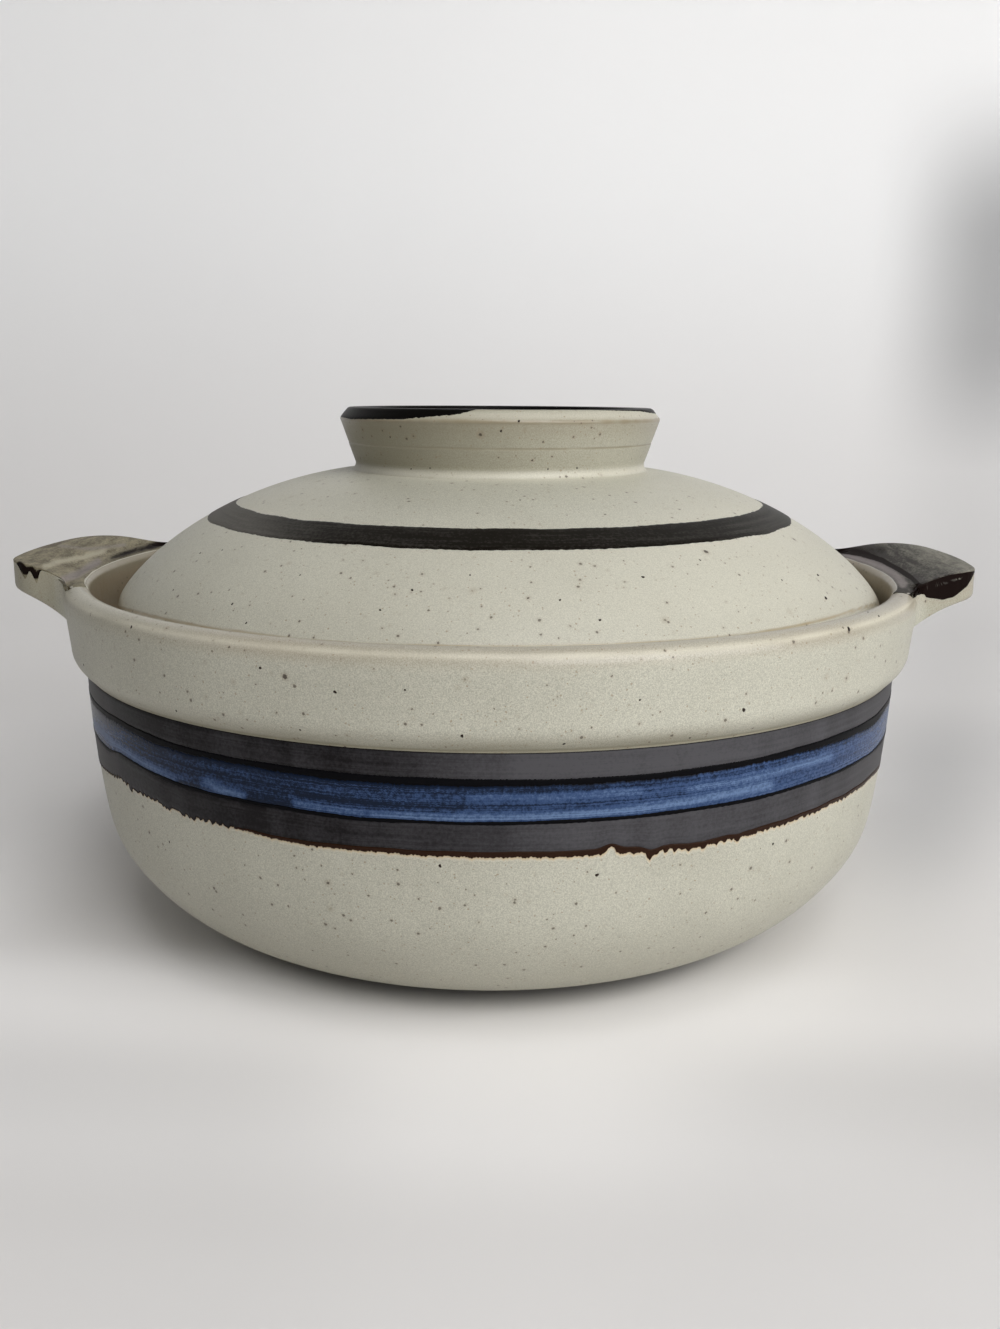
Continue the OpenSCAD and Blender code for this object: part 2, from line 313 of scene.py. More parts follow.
belly_run = bend((FOOT_R, FOOT_H), BELLY, BELLY_BEND, 80)
wall_run = bend(BELLY, (BOWL_R, COLLAR_Z), WALL_BEND, 80)
wall_up = evened(chain(belly_run, 0, wall_run), 11 * MM, 92)
collar_run = chain(
    bend((BOWL_R, COLLAR_Z), (COLLAR_R, TUCK_TOP), [(0.45, 0.22), (1, 0.52)], 14), 0,
    line((COLLAR_R, TUCK_TOP), (RIM_R, RIM_Z), 10), 0,
    bend((RIM_R, RIM_Z), (CREST_R, BOWL_TOP), [(0, 0.65), (0.28, 1)], 14),
)
crest_run = bend((CREST_R, BOWL_TOP), GALLERY_TOP, [(0.6, 0), (1, 0.4)], 10)
bowl_section = chain(
    line((0, FOOT_H), (FOOT_R - FOOT_W, FOOT_H), 6), EASE,
    line((FOOT_R - FOOT_W, FOOT_H), (FOOT_R - FOOT_W, 0), 3), EASE,
    line((FOOT_R - FOOT_W, 0), (FOOT_R, 0), 4), EASE,
    line((FOOT_R, 0), (FOOT_R, FOOT_H), 3), EASE,
    wall_up, 0.5 * MM, collar_run, 0,
    crest_run, 0,
    line(GALLERY_TOP, (GALLERY_R, LEDGE_Z), 8), EASE,
    line((GALLERY_R, LEDGE_Z), (LEDGE_R, LEDGE_Z), 6), EASE,
    bend((LEDGE_R, LEDGE_Z), UNDER_LEDGE, [(0, 0.35), (1, 0.45)], 14), 0,
    bend(UNDER_LEDGE, INNER_BELLY, back(WALL_BEND), 20), 0,
    bend(INNER_BELLY, FLOOR, back(FLOOR_BEND), 30), 0,
    line(FLOOR, (0, FLOOR[1]), 12),
)
outside = chain(wall_up, 0, collar_run)
print("bowl section:", len(bowl_section), "points")


def wall_radius(z):
    """Radius of the bowl's outside at a height, before it is taken out of true."""
    return np.interp(z, outside[:, 1], outside[:, 0])


# %% [markdown]
# Hand work leaves marks that follow no rule, such as a drip or a smudge. Those are placed by the pixel
# where they are seen. A line of sight starts at the camera and goes through the pixel; the mark lies
# where it first meets the turned outside. The code walks along all lines at once in small steps and takes
# the first step that is inside.


# %% From a pixel to a place on the pot
SIGHT_REACH = (220 * MM, 620 * MM)


def sight(pixels):
    """Directions through picture points, from the camera's own axes."""
    x, y = np.array(pixels, float).T
    side = (x - PHOTO_W / 2) / FOCAL_PX
    up = (PHOTO_H / 2 - y) / FOCAL_PX
    return side[:, None] * axes[:, 0] + up[:, None] * axes[:, 1] - axes[:, 2]


def meet(pixels, radius_at, axis_x=0.0):
    """Angle and height where the lines of sight first come inside the radius at their height. A line that
    passes beside the pot gives the point where it passes nearest."""
    way = sight(pixels)
    step = np.linspace(*SIGHT_REACH, 8001)
    path = eye + way[:, None, :] * step[None, :, None]
    dx, dy, z = path[..., 0] - axis_x, path[..., 1], path[..., 2]
    gap = np.hypot(dx, dy) - radius_at(z) + (z > BOWL_TOP if axis_x == 0 else 0)
    first = np.where((gap < 0).any(1), (gap < 0).argmax(1), gap.argmin(1))
    row = np.arange(len(way))
    return np.arctan2(dy[row, first], dx[row, first]), z[row, first]


def seen_at(points):
    """Picture points, x and y in pixels, where places are seen. It is the way back from sight."""
    way = (points - eye) @ axes
    x = PHOTO_W / 2 - FOCAL_PX * way[..., 0] / way[..., 2]
    y = PHOTO_H / 2 + FOCAL_PX * way[..., 1] / way[..., 2]
    return x, y


probe = meet([(500, 753), (500, 859)], wall_radius)
print("pixel test, heights in mm:", (probe[1] / MM).round(1))

# %% [markdown]
# Nothing painted by hand on a turning wheel is quite even. Ripples are sums of sine waves that run a
# whole number of times round the pot, so that they close on themselves. Each ripple has its own seed, so
# every run gives the same.


# %% Ripples round the pot
def ripple(angle, seed, low, high, count=30):
    """Sum of sines with low to high lobes and their own phases, brought to a spread of about one half."""
    random = np.random.default_rng(seed)
    lobes = random.integers(low, high + 1, count)
    phase, size = random.uniform(0, 2 * np.pi, count), random.uniform(0.4, 1, count)
    waves = np.sin(np.asarray(angle)[..., None] * lobes + phase) * size
    return waves.sum(-1) / np.sqrt((size**2).sum()) * 0.7


def hump(x, middle, width):
    """Bell curve: one at the middle, and a fifth of that at one width away."""
    return np.exp(-(((x - middle) / width) ** 2) * 1.6)


def smooth_step(x, low, high):
    """Zero below low, one above high, and 3t^2 - 2t^3 between them."""
    t = np.clip((x - low) / (high - low), 0, 1)
    return t * t * (3 - 2 * t)


# %% [markdown]
# The bowl's glaze isn't the same everywhere. It runs thin and warm over the rim and down the gallery. On
# top of that, painted shade darkens the tuck under the collar, the lower belly, the gallery and the inside
# of the rim's crest, and a painted highlight lies pale on the outer shoulder of the rim. A picture laid
# over the pot could show that, but it would blur close up. So these three tints are worked out at the
# points of the mesh, from their radius and height, and the material reads them as one vector.

# %% The bowl
BOWL_TURN = 360
OVER_COLLAR = (BOWL_TOP - 6 * MM, BOWL_TOP - 2 * MM)
OVER_INSIDE = (BOWL_TOP - 44 * MM, BOWL_TOP - 14 * MM)
OVER_GALLERY = (BOWL_TOP - 1.4 * MM, BOWL_TOP - 0.1 * MM)
OUT_TO_WALL = (70 * MM, 105 * MM)
SHOULDER_UP = BOWL_TOP - 1.5 * MM


def bowl_tint(section, angle):
    """Warm, dark and pale shares at each point of the bowl, as bell curves and steps of radius and
    height. Most of the dark share is painted shade, and the pale share is a painted highlight."""
    r, z = section[:, :1], section[:, 1:]
    right = np.cos(angle)
    inside = np.arange(len(section))[:, None] > section[:, 1].argmax()
    at_wall = ~inside & (r > 0.9 * BOWL_R)
    rim = smooth_step(z, *OVER_COLLAR) * (0.33 + 0.14 * ripple(angle, 3, 2, 14) + 0.10 * right)
    # The gallery's warm brown is the glaze's own. It is made stronger at the left and darker, and that part
    # is painted shade.
    gallery = inside * smooth_step(z, *OVER_INSIDE) * (1 - smooth_step(z, *OVER_GALLERY))
    gallery = gallery * smooth_step(r, *OUT_TO_WALL) * (1.0 - 0.32 * right)
    # Painted shade: a thin dark, warm line inside the crest, where the lid meets the rim.
    crest = inside * hump(r, CREST_R - 1.0 * MM, 0.5 * MM) * (z > BOWL_TOP - 2 * MM)
    crest = crest * (0.8 + 0.3 * ripple(angle, 4, 3, 40))
    # Painted shade in the inner corner below the crest, deeper at the left.
    corner = inside * hump(r, CREST_R - 2.4 * MM, 1.3 * MM) * (z > BOWL_TOP - 3 * MM)
    corner = corner * (0.75 - 0.25 * right)
    # Painted highlight: a pale line on the outer shoulder of the rim, brighter at the right.
    shoulder_highlight = ~inside * hump(z, SHOULDER_UP, 0.8 * MM)
    shoulder_highlight = shoulder_highlight * (0.7 + 0.15 * right + 0.2 * ripple(angle, 6, 3, 40))
    warm = np.clip(rim * (1 - 0.8 * shoulder_highlight) + gallery + 0.45 * crest + 0.35 * corner, 0, 1)
    # Painted shade under the overhanging collar.
    tuck_shade = hump(z, COLLAR_Z + 1.6 * MM, 2.6 * MM) * (0.45 + 0.2 * ripple(angle, 5, 2, 20)) * at_wall
    tuck_shade = tuck_shade + hump(z, COLLAR_Z, 0.8 * MM) * at_wall
    # Painted shade on the lower belly, which turns down, away from the light.
    belly_shade = hump(z, 12 * MM, 16 * MM) * 0.2 * ~inside
    dark = np.clip(tuck_shade + belly_shade + crest + 0.4 * gallery + corner, 0, 1)
    return np.stack(np.broadcast_arrays(warm, dark, np.clip(shoulder_highlight, 0, 1)), -1)


bowl = turn_section("bowl", bowl_section, BOWL_TURN, marks={"tint": bowl_tint})
stands_for(bowl, "bowl", "stoneware", "bowl_body")

# %% [markdown]
# A coat of glaze is a thin closed skin on the clay. Its front is the clay's own run of points between two
# edges, lifted a little, more in the middle than at the edges; its back lies inside the clay. The edges
# may wander round the pot: they are given as places along the run, one for each angle.


# %% A coat on a run of clay
EDGE_SINK, COAT_DEEP = 0.14 * MM, 0.7 * MM
TURN_PITCH = 0.12


def at_place(runs, place):
    """Points of the runs (points, angles, 2) at fractional places, one row of places for each row
    wanted."""
    low = np.clip(np.floor(place).astype(int), 0, len(runs) - 2)
    share = (place - low)[..., None]
    cols = np.broadcast_to(np.arange(place.shape[1]), place.shape)
    runs = np.broadcast_to(runs, (len(runs), place.shape[1], 2))
    return runs[low, cols] * (1 - share) + runs[low + 1, cols] * share


def coat(name, runs, angle, first, last, thick, axis_x=0.0, rows=11, half=False, warp=None,
         paint=None, mark="paint"):
    """Skin between the places first and last. Its lift is thick (1 - (2v-1)^8) over the width v, minus a
    sink at both edges, along the run's own normal. Its mark turn holds the way round the pot and the
    share of the width. The function paint gives the shares at its points that are kept under the name
    mark. half closes a coat that doesn't go all round, and warp moves the points of a piece that isn't
    turned true."""
    v = np.linspace(0, 1, rows)[:, None]
    place = first + (last - first) * v
    points = at_place(runs, place)
    ahead_of = at_place(runs, np.clip(place + 0.5, 0, len(runs) - 1.001))
    behind = at_place(runs, np.clip(place - 0.5, 0, len(runs) - 1.001))
    along = ahead_of - behind
    along /= np.hypot(along[..., 0], along[..., 1])[..., None]
    normal = np.stack([along[..., 1], -along[..., 0]], -1)
    edge_sink = EDGE_SINK * (np.abs(2 * v - 1) > 0.999)
    lift = np.broadcast_to(thick * (1 - np.abs(2 * v - 1) ** 8) - edge_sink, place.shape)
    front = points + normal * lift[..., None]
    rear = (points - normal * COAT_DEEP)[::-1][:: max(1, rows // 4)]
    loop = np.concatenate([front, rear])
    grid = turned(loop[..., 0], loop[..., 1], angle[None, :], axis_x)
    if warp:
        grid = warp(grid)
    width = np.concatenate([np.broadcast_to(v, lift.shape), np.full(rear.shape[:2], 0.5)])
    turn = np.broadcast_arrays(np.cos(angle) * TURN_PITCH, np.sin(angle) * TURN_PITCH, width)
    turn = np.stack(turn, -1)
    marks = {"turn": turn}
    if paint:
        marks[mark] = paint(grid)
    if half:
        poles = [grid[:, 0].mean(0), grid[:, -1].mean(0)]
        marks = {key: values.transpose(1, 0, 2) for key, values in marks.items()}
        return surface(name, grid.transpose(1, 0, 2), wrap_cols=True, poles=poles, marks=marks)
    return surface(name, grid, wrap_rows=True, wrap_cols=True, marks=marks)


def place_seen(runs, angle, low, high, drawn, axis_x=0.0, warp=None):
    """Places along rising runs, from low to high, where they cross a line drawn in the picture."""
    places = np.broadcast_to(np.linspace(low, high, 80)[:, None], (80, len(angle)))
    points = at_place(runs, places)
    grid = turned(points[..., 0], points[..., 1], angle[None, :], axis_x)
    x, y = seen_at(warp(grid) if warp else grid)
    under = np.cumprod(y > np.interp(x, *np.array(drawn, float).T), axis=0)
    return low + (high - low) * under.sum(0) / 80


def stroke(x, y, drawn, width):
    """Paint that a brush leaves along a line drawn in the picture: a bell curve over the distance from
    it."""
    drawn = np.array(drawn, float)
    gap = np.full(x.shape, np.inf)
    for start, end in zip(drawn[:-1], drawn[1:]):
        way = end - start
        t = np.clip(((x - start[0]) * way[0] + (y - start[1]) * way[1]) / (way @ way), 0, 1)
        gap = np.minimum(gap, np.hypot(x - start[0] - t * way[0], y - start[1] - t * way[1]))
    return hump(gap, 0, width)


# %% [markdown]
# The five bands under the collar were brushed on the turning bowl: dark iron, then cobalt blue, then iron
# again. A thin black line has formed where iron and cobalt overlap. The edges are placed by picture
# points on the side that is seen, and go on round the back with ripples only. The lowest edge has run,
# and has a rusty fringe.

# %% The edges of the bands
BAND_TURN = 3600
band_angle = around(BAND_TURN) - np.pi
wall_runs = wall_up[:, None, :]


def evened_round(values, half=18):
    """Running mean of values round the pot, with the weights of a raised cosine over half a window each
    way."""
    weight = np.hanning(2 * half + 1)
    return np.convolve(np.r_[values[-half:], values, values[:half]], weight / weight.sum(), "valid")


def height_edge(base, seen, loose, seed, fine=0.0, drips=()):
    """Height of an edge at each angle: base, plus where the picture points lie above it, plus ripples. A
    drip is a picture point and a width: the edge reaches that point, with a bell curve round it."""
    where, z = meet(seen, wall_radius)
    order = np.argsort(where)
    where, off = where[order], z[order] - base
    ends = np.radians(5)
    off = np.interp(band_angle, np.r_[where[0] - ends, where, where[-1] + ends], np.r_[0, off, 0])
    off = evened_round(off)
    edge = base + off + loose * ripple(band_angle, seed, 2, 60)
    edge = edge + fine * ripple(band_angle, seed + 1, 80, 520, 60)
    for x, y, width in drips:
        a, tip = meet([(x, y)], wall_radius)
        now = np.interp(a, band_angle, edge)
        edge = edge + (tip - now) * hump(band_angle - a, 0, width * MM / BOWL_R)
    return edge


def wall_place(z):
    """Place along the wall's run at a height."""
    return np.interp(z, wall_up[:, 1], np.arange(len(wall_up)))


IRON_FOOT = [(120, 719), (160, 738), (200, 750), (240, 758), (300, 767), (360, 774), (430, 777), (500, 779),
             (570, 778), (640, 774), (700, 767), (760, 757), (800, 746), (840, 733), (875, 715)]
LINE_FOOT = [(120, 725), (160, 746), (200, 757), (240, 764), (300, 775), (360, 782), (430, 786), (500, 787),
             (570, 785), (640, 781), (700, 774), (760, 763), (800, 753), (840, 741), (875, 724)]
COBALT_FOOT = [(120, 752), (180, 783), (240, 798), (290, 807), (360, 817), (430, 820), (500, 821.5),
               (570, 819), (640, 814), (700, 806), (760, 795), (800, 784), (840, 769), (870, 752)]
LOW_LINE_FOOT = [(120, 754), (180, 787), (240, 802), (290, 811), (360, 821), (430, 824), (500, 825.5),
                 (570, 823), (640, 818), (700, 810), (760, 799), (800, 787), (840, 772), (870, 754)]
LOW_IRON_FOOT = [(100, 762), (120, 778), (140, 793), (160, 802), (190, 817), (220, 824), (245, 831),
                 (270, 838), (300, 844), (360, 851), (430, 856), (500, 858), (560, 857), (630, 853),
                 (690, 849), (742, 837), (800, 818), (840, 800), (872, 776), (880, 765)]
LOW_DRIPS = [(167, 810, 1.3), (132, 790, 1.5), (190, 819, 0.9), (238, 829, 0.8), (611, 846, 1.5),
             (651, 858, 2.2), (736, 841, 1.2)]
TEETH_AT = [100, 115, 215, 235, 600, 660, 760, 870]
TEETH = [0.6, 1.0, 1.0, 0.25, 0.3, 1.0, 0.7, 0.5]
FRINGE_AT = [215, 245, 300, 500, 640, 800, 880]
FRINGE = [0.1, 0.8, 1.2, 1.7, 1.9, 1.5, 1.2]
TOOTH, NIBBLE, LEAST_IRON = 0.75 * MM, 0.22 * MM, 4 * MM


def across_picture(at, values, behind):
    """Values given at pixels across the picture, for each angle of the bands; behind the pot, one plain
    value."""
    x, y = seen_at(turned(np.full(BAND_TURN, BOWL_R), COLLAR_Z, band_angle))
    front = smooth_step(-np.sin(band_angle), 0.0, 0.15)
    return behind + (np.interp(x, at, values) - behind) * front


def foot_of(node):
    """Height of the lower edge of a solid."""
    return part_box(node)[0].z


collar_edge = np.full(BAND_TURN, COLLAR_Z + 0.1 * MM)
iron_foot = height_edge(foot_of("upper_iron_band"), IRON_FOOT, 0.10 * MM, 11, 0.05 * MM)
iron_foot += 0.10 * MM * ripple(band_angle, 12, 500, 1200, 90)
line_foot = height_edge(foot_of("upper_black_line"), LINE_FOOT, 0.15 * MM, 13, 0.16 * MM)
line_foot += 0.16 * MM * ripple(band_angle, 14, 500, 1200, 90)
cobalt_foot = height_edge(foot_of("cobalt_band"), COBALT_FOOT, 0.12 * MM, 15, 0.05 * MM)
low_line_foot = height_edge(foot_of("lower_black_line"), LOW_LINE_FOOT, 0.12 * MM, 17, 0.08 * MM)
fringe_foot = height_edge(foot_of("lower_iron_band"), LOW_IRON_FOOT, 0.16 * MM, 19, 0.06 * MM, LOW_DRIPS)
teeth = np.clip(0.5 + 1.3 * ripple(band_angle, 27, 150, 380, 60), 0, 1.4) - 0.5
fringe_foot -= teeth * across_picture(TEETH_AT, TEETH, 0.4) * TOOTH
fringe_foot -= np.clip(ripple(band_angle, 28, 450, 1100, 90), -0.6, 1.2) * NIBBLE
fringe_foot = np.minimum(fringe_foot, low_line_foot - LEAST_IRON)
fringe_w = across_picture(FRINGE_AT, FRINGE, 1.0) * MM
evened_by = (evened_round(fringe_foot) - fringe_foot) * smooth_step(fringe_w, 0.2 * MM, 1.0 * MM)
low_iron_foot = fringe_w + fringe_foot + evened_by
print("lowest edge of the fringe, mm:", round(fringe_foot.min() / MM, 1))

# %% [markdown]
# Where the brush was full the glaze is thick, and it is darker or paler there. These brush marks are
# painted on by picture points. Iron gets one share for how thin it is, and the same share carries a
# painted sheen that grows towards the right. Cobalt gets a share for pale crystals and one for dark
# places. Each band and each black line is a coat of its own, and the bands reach a little way under the
# lines, so that no clay shows between them.

# %% The bands as coats
OVERLAP = 0.6 * MM
IRON_THICK, LINE_THICK, COBALT_THICK = 0.20 * MM, 0.30 * MM, 0.24 * MM
# Shares of thin iron glaze across the picture. They also carry a painted sheen that grows towards the
# right.
IRON_THIN_AND_SHEEN_AT = [95, 150, 205, 215, 255, 270, 288, 296, 306, 410, 425, 480, 520, 650, 760, 840, 880]
IRON_THIN_AND_SHEEN = [0.25, 0.05, 0.08, 0.3, 0.3, 0.08, 0.1, 0.3, 0.16, 0.22, 0.5, 0.7, 1.0, 1.0, 0.9, 0.75, 0.7]
LOW_THIN_AND_SHEEN_AT = [95, 140, 190, 235, 290, 330, 400, 480, 520, 570, 700, 840, 880]
LOW_THIN_AND_SHEEN = [0.3, 0.25, 0.1, 0.06, 0.1, 0.2, 0.3, 0.4, 0.6, 0.85, 0.72, 0.68, 0.6]
PALE_STREAKS = [
    ([(92, 722), (112, 742), (140, 762), (172, 780)], 5.5, 0.8),
    ([(206, 781), (222, 790), (242, 797)], 6.0, 0.9),
    ([(296, 803), (330, 810), (362, 813)], 5.0, 0.7),
    ([(372, 815), (440, 818), (500, 818), (560, 816), (620, 811), (690, 802), (770, 785)], 5.5, 0.9),
    ([(470, 798), (560, 797), (640, 791)], 4.5, 0.5),
    ([(690, 790), (760, 778), (830, 757)], 5.0, 0.55),
    ([(700, 776), (780, 758), (850, 730)], 3.5, 0.4),
]
DARK_STREAKS = [
    ([(130, 742), (180, 765), (240, 780), (300, 789)], 6.0, 0.5),
    ([(178, 786), (196, 787)], 7.0, 0.7),
    ([(250, 798), (285, 804)], 8.0, 0.9),
    ([(300, 795), (400, 806), (460, 808)], 4.5, 0.7),
    ([(460, 808), (560, 806), (640, 800)], 3.5, 0.4),
    ([(640, 800), (740, 786), (800, 770)], 2.5, 0.5),
]


def wall_coat(name, top, foot, thick, **words):
    """A coat on the wall between two edges given as heights."""
    return coat(name, wall_runs, band_angle, wall_place(foot), wall_place(top), thick, **words)


def iron_thin_and_sheen(at, values):
    """Painter of an iron band: the share of thin glaze and painted sheen, from the pixels across."""
    share = across_picture(at, values, 0.5) + 0.12 * ripple(band_angle, 61, 8, 90)

    def paint(points):
        """The same share in all rows of the coat."""
        return np.stack([np.broadcast_to(np.clip(share, 0, 1), points.shape[:2])] * 3, -1)
    return paint


def cobalt_paint(points):
    """Pale and dark shares of the cobalt band. Behind the pot it is evenly pale."""
    x, y = seen_at(points)
    front = smooth_step(-points[..., 1], 0, 20 * MM)
    pale, dark = (sum(stroke(x, y, drawn, width) * share for drawn, width, share in streaks)
                  for streaks in (PALE_STREAKS, DARK_STREAKS))
    pale = np.clip(pale, 0, 1) * front + 0.35 * (1 - front)
    return np.stack([pale, np.clip(dark, 0, 1) * front, np.zeros_like(front)], -1)


upper_iron = wall_coat("upper_iron", collar_edge, iron_foot - OVERLAP, IRON_THICK,
                       paint=iron_thin_and_sheen(IRON_THIN_AND_SHEEN_AT, IRON_THIN_AND_SHEEN))
upper_line = wall_coat("upper_line", iron_foot, line_foot, LINE_THICK)
cobalt = wall_coat("cobalt", line_foot + OVERLAP, cobalt_foot - OVERLAP, COBALT_THICK, rows=16,
                   paint=cobalt_paint)
low_line = wall_coat("low_line", cobalt_foot, low_line_foot, LINE_THICK)
low_iron = wall_coat("low_iron", low_line_foot + OVERLAP, low_iron_foot - OVERLAP, IRON_THICK,
                     paint=iron_thin_and_sheen(LOW_THIN_AND_SHEEN_AT, LOW_THIN_AND_SHEEN))
rust_fringe = wall_coat("rust_fringe", low_iron_foot, fringe_foot, COBALT_THICK)


def halo_paint(points):
    """Warm and pale shares beside the edge of the fringe, as bell curves of the distance below it."""
    below = fringe_foot - points[..., 2]
    warm, pale = 0.9 * hump(below, 0, 0.6 * MM), hump(below, 0.2 * MM, 0.8 * MM)
    return np.stack([warm, np.zeros_like(below), pale], -1)


fringe_halo = wall_coat("fringe_halo", fringe_foot + 0.4 * MM, fringe_foot - 1.3 * MM, 0.05 * MM,
                        paint=halo_paint, mark="tint")
stands_for(fringe_halo, "bowl", "stoneware")
for piece, slot, nodes in (
    (upper_iron, "iron_glaze", ["upper_iron_band"]),
    (upper_line, "black_glaze", ["upper_black_line"]),
    (cobalt, "cobalt_glaze", ["cobalt_band"]),
    (low_line, "black_glaze", ["lower_black_line"]),
    (low_iron, "iron_glaze", ["lower_iron_band"]),
    (rust_fringe, "iron_glaze", []),
):
    stands_for(piece, "bowl", slot, *nodes)

# %% [markdown]
# The lid is a dome thrown upside down, with its knob turned on as a ring. It sits a little off the bowl's
# middle, as a loose lid does. The section starts in the middle of its underside, goes round the edge and
# ends on top.

# %% The lid's dome
LID_EDGE_Z, LID_T = SEAT_Z + 8.2 * MM, 6.8 * MM
LID_IN_R, CROWN_SHARE = LID_R - LID_T, 0.363
DOME_BEND = [(0.041, 0.233), (0.422, 0.905)]
CROWN_R = CROWN_SHARE * LID_R

dome_run = chain(
    line((LID_R, SEAT_Z + 3 * MM), (LID_R, LID_EDGE_Z), 5), 1.2 * MM,
    bend((LID_R, LID_EDGE_Z), (CROWN_R, CROWN_Z), DOME_BEND, 90),
)
lid_section = chain(
    line((0, CROWN_Z - LID_T), (CROWN_SHARE * LID_IN_R, CROWN_Z - LID_T), 10), 3 * MM,
    bend((LID_IN_R, LID_EDGE_Z), (CROWN_SHARE * LID_IN_R, CROWN_Z - LID_T), DOME_BEND, 50)[::-1], 1.5 * MM,
    line((LID_IN_R, LID_EDGE_Z), (LID_IN_R, SEAT_Z), 5), 0.9 * MM,
    line((LID_IN_R, SEAT_Z), (LID_R, SEAT_Z), 5), 0.9 * MM,
    line((LID_R, SEAT_Z), (LID_R, SEAT_Z + 3 * MM), 4), 0,
    dome_run, 2 * MM,
    line((CROWN_R, CROWN_Z), (0, CROWN_Z), 10),
)
RIM_MEETS_LID = [(118, 607), (150, 615.5), (180, 622.5), (210, 628), (300, 640.5), (380, 645), (450, 646.5),
                 (520, 646.5), (600, 645), (680, 641.5), (740, 636), (790, 627.5), (832, 617), (875, 604)]
PALE_FROM_KNOB, PALE_FROM_BAND = (46 * MM, 60 * MM), (66 * MM, 92 * MM)
PALE_ENDS = (80 * MM, 100 * MM)


def lid_tint(section, angle):
    """Warm, dark and pale shares at each point of the lid: painted shade along its joint with the rim, a
    warm edge, and pale rings whose shares rise with smooth steps of the radius. These are paler glaze low
    on the dome with painted light stronger at the right, and painted sheen near the knob and at both sides."""
    r, z = section[:, :1], section[:, 1:]
    x, y = seen_at(turned(r, z, angle, LID_X))
    # Painted shade: a thin dark, warm line on the front of the lid, where it goes down behind the rim.
    rust = stroke(x, y, RIM_MEETS_LID, 1.5) * (np.sin(angle) < 0)
    rust = rust * (1.1 + 0.4 * ripple(angle, 32, 10, 120))
    under = np.arange(len(section))[:, None] < len(section) * 0.45
    edge = hump(z, LID_EDGE_Z, 2.6 * MM) * (0.6 + 0.4 * ripple(angle, 31, 3, 30)) * (r > LID_R - 6 * MM)
    # Painted sheen on the lid near the knob.
    sheen_near_knob = hump(r, KNOB_R - 3 * MM, 4 * MM) * 0.5
    # Paler glaze low on the dome, with painted light that is stronger at the right.
    low = smooth_step(r, *PALE_FROM_BAND) * (0.42 + 0.16 * np.cos(angle))
    # Painted sheen at both sides of the dome, where it is seen at a glancing angle.
    side_sheen = smooth_step(np.abs(np.cos(angle)), 0.3, 0.9) * smooth_step(r, *PALE_FROM_KNOB) * 0.5
    side_sheen = side_sheen * (1 - smooth_step(r, *PALE_ENDS))
    pale = np.clip(sheen_near_knob + low + side_sheen, 0, 1) * ~under
    warm = np.clip(edge + 0.8 * rust, 0, 1)
    return np.stack(np.broadcast_arrays(warm, np.clip(rust, 0, 1), pale), -1)


lid = turn_section("lid", lid_section, BOWL_TURN, LID_X, marks={"tint": lid_tint})
stands_for(lid, "lid", "stoneware", "lid_dome")

# %% [markdown]
# The knob is a hollow ring that flares upwards, so that fingers can hold it and the lid can stand on it,
# turned over as a dish. Its section is closed in itself: up the outside with a faint turned groove, over
# the shoulder, the bevel and the flat lip, and down the inside. The bottom lies inside the dome, so that
# no gap can show.

# %% The knob
KNOB_FOOT_R, KNOB_FILLET = KNOB_R - 5.4 * MM, 2.0 * MM
KNOB_LEAN, KNOB_COAT = 0.0132, 0.16 * MM
SHOULDER_Z = KNOB_TOP - 3.2 * MM
BEVEL_R, LIP_R = KNOB_R - 2.7 * MM, KNOB_R - 7.3 * MM
SUNK_Z = CROWN_Z - 1.4 * MM
FLARE = (KNOB_FOOT_R + 0.83 * MM, CROWN_Z + KNOB_FILLET)
FILLET_R = KNOB_FOOT_R + KNOB_FILLET
FILLET_Z = np.interp(FILLET_R, dome_run[::-1, 0], dome_run[::-1, 1]) + 0.02 * MM
GROOVE_Z, GROOVE_DEEP, GROOVE_HALF = CROWN_Z + 8.1 * MM, 0.05 * MM, 0.45 * MM
groove_r = np.interp(GROOVE_Z, [FLARE[1], SHOULDER_Z], [FLARE[0], KNOB_R])

knob_out = chain(
    line((FILLET_R, SUNK_Z), (FILLET_R, FILLET_Z), 2), 0,
    bend((FILLET_R, FILLET_Z), FLARE, [(0.55, 0), (1, 0.45)], 14), 0,
    line(FLARE, (groove_r - 0.1 * MM, GROOVE_Z - GROOVE_HALF), 8), 0.2 * MM,
    line((groove_r - 0.1 * MM, GROOVE_Z - GROOVE_HALF), (groove_r - GROOVE_DEEP, GROOVE_Z), 3), 0.2 * MM,
    line((groove_r - GROOVE_DEEP, GROOVE_Z), (groove_r + 0.1 * MM, GROOVE_Z + GROOVE_HALF), 3), 0.2 * MM,
    line((groove_r + 0.1 * MM, GROOVE_Z + GROOVE_HALF), (KNOB_R, SHOULDER_Z), 10),
)
knob_over = chain(
    line((KNOB_R, SHOULDER_Z - 3 * MM), (KNOB_R, SHOULDER_Z), 5), 0.6 * MM,
    line((KNOB_R, SHOULDER_Z), (BEVEL_R, KNOB_TOP), 9), 0.7 * MM,
    line((BEVEL_R, KNOB_TOP), (LIP_R, KNOB_TOP), 9), 0.9 * MM,
    line((LIP_R, KNOB_TOP), (LIP_R - 1.2 * MM, KNOB_TOP - 5 * MM), 5),
)
knob_over[:5, 0] = np.interp(knob_over[:5, 1], knob_out[:, 1], knob_out[:, 0])
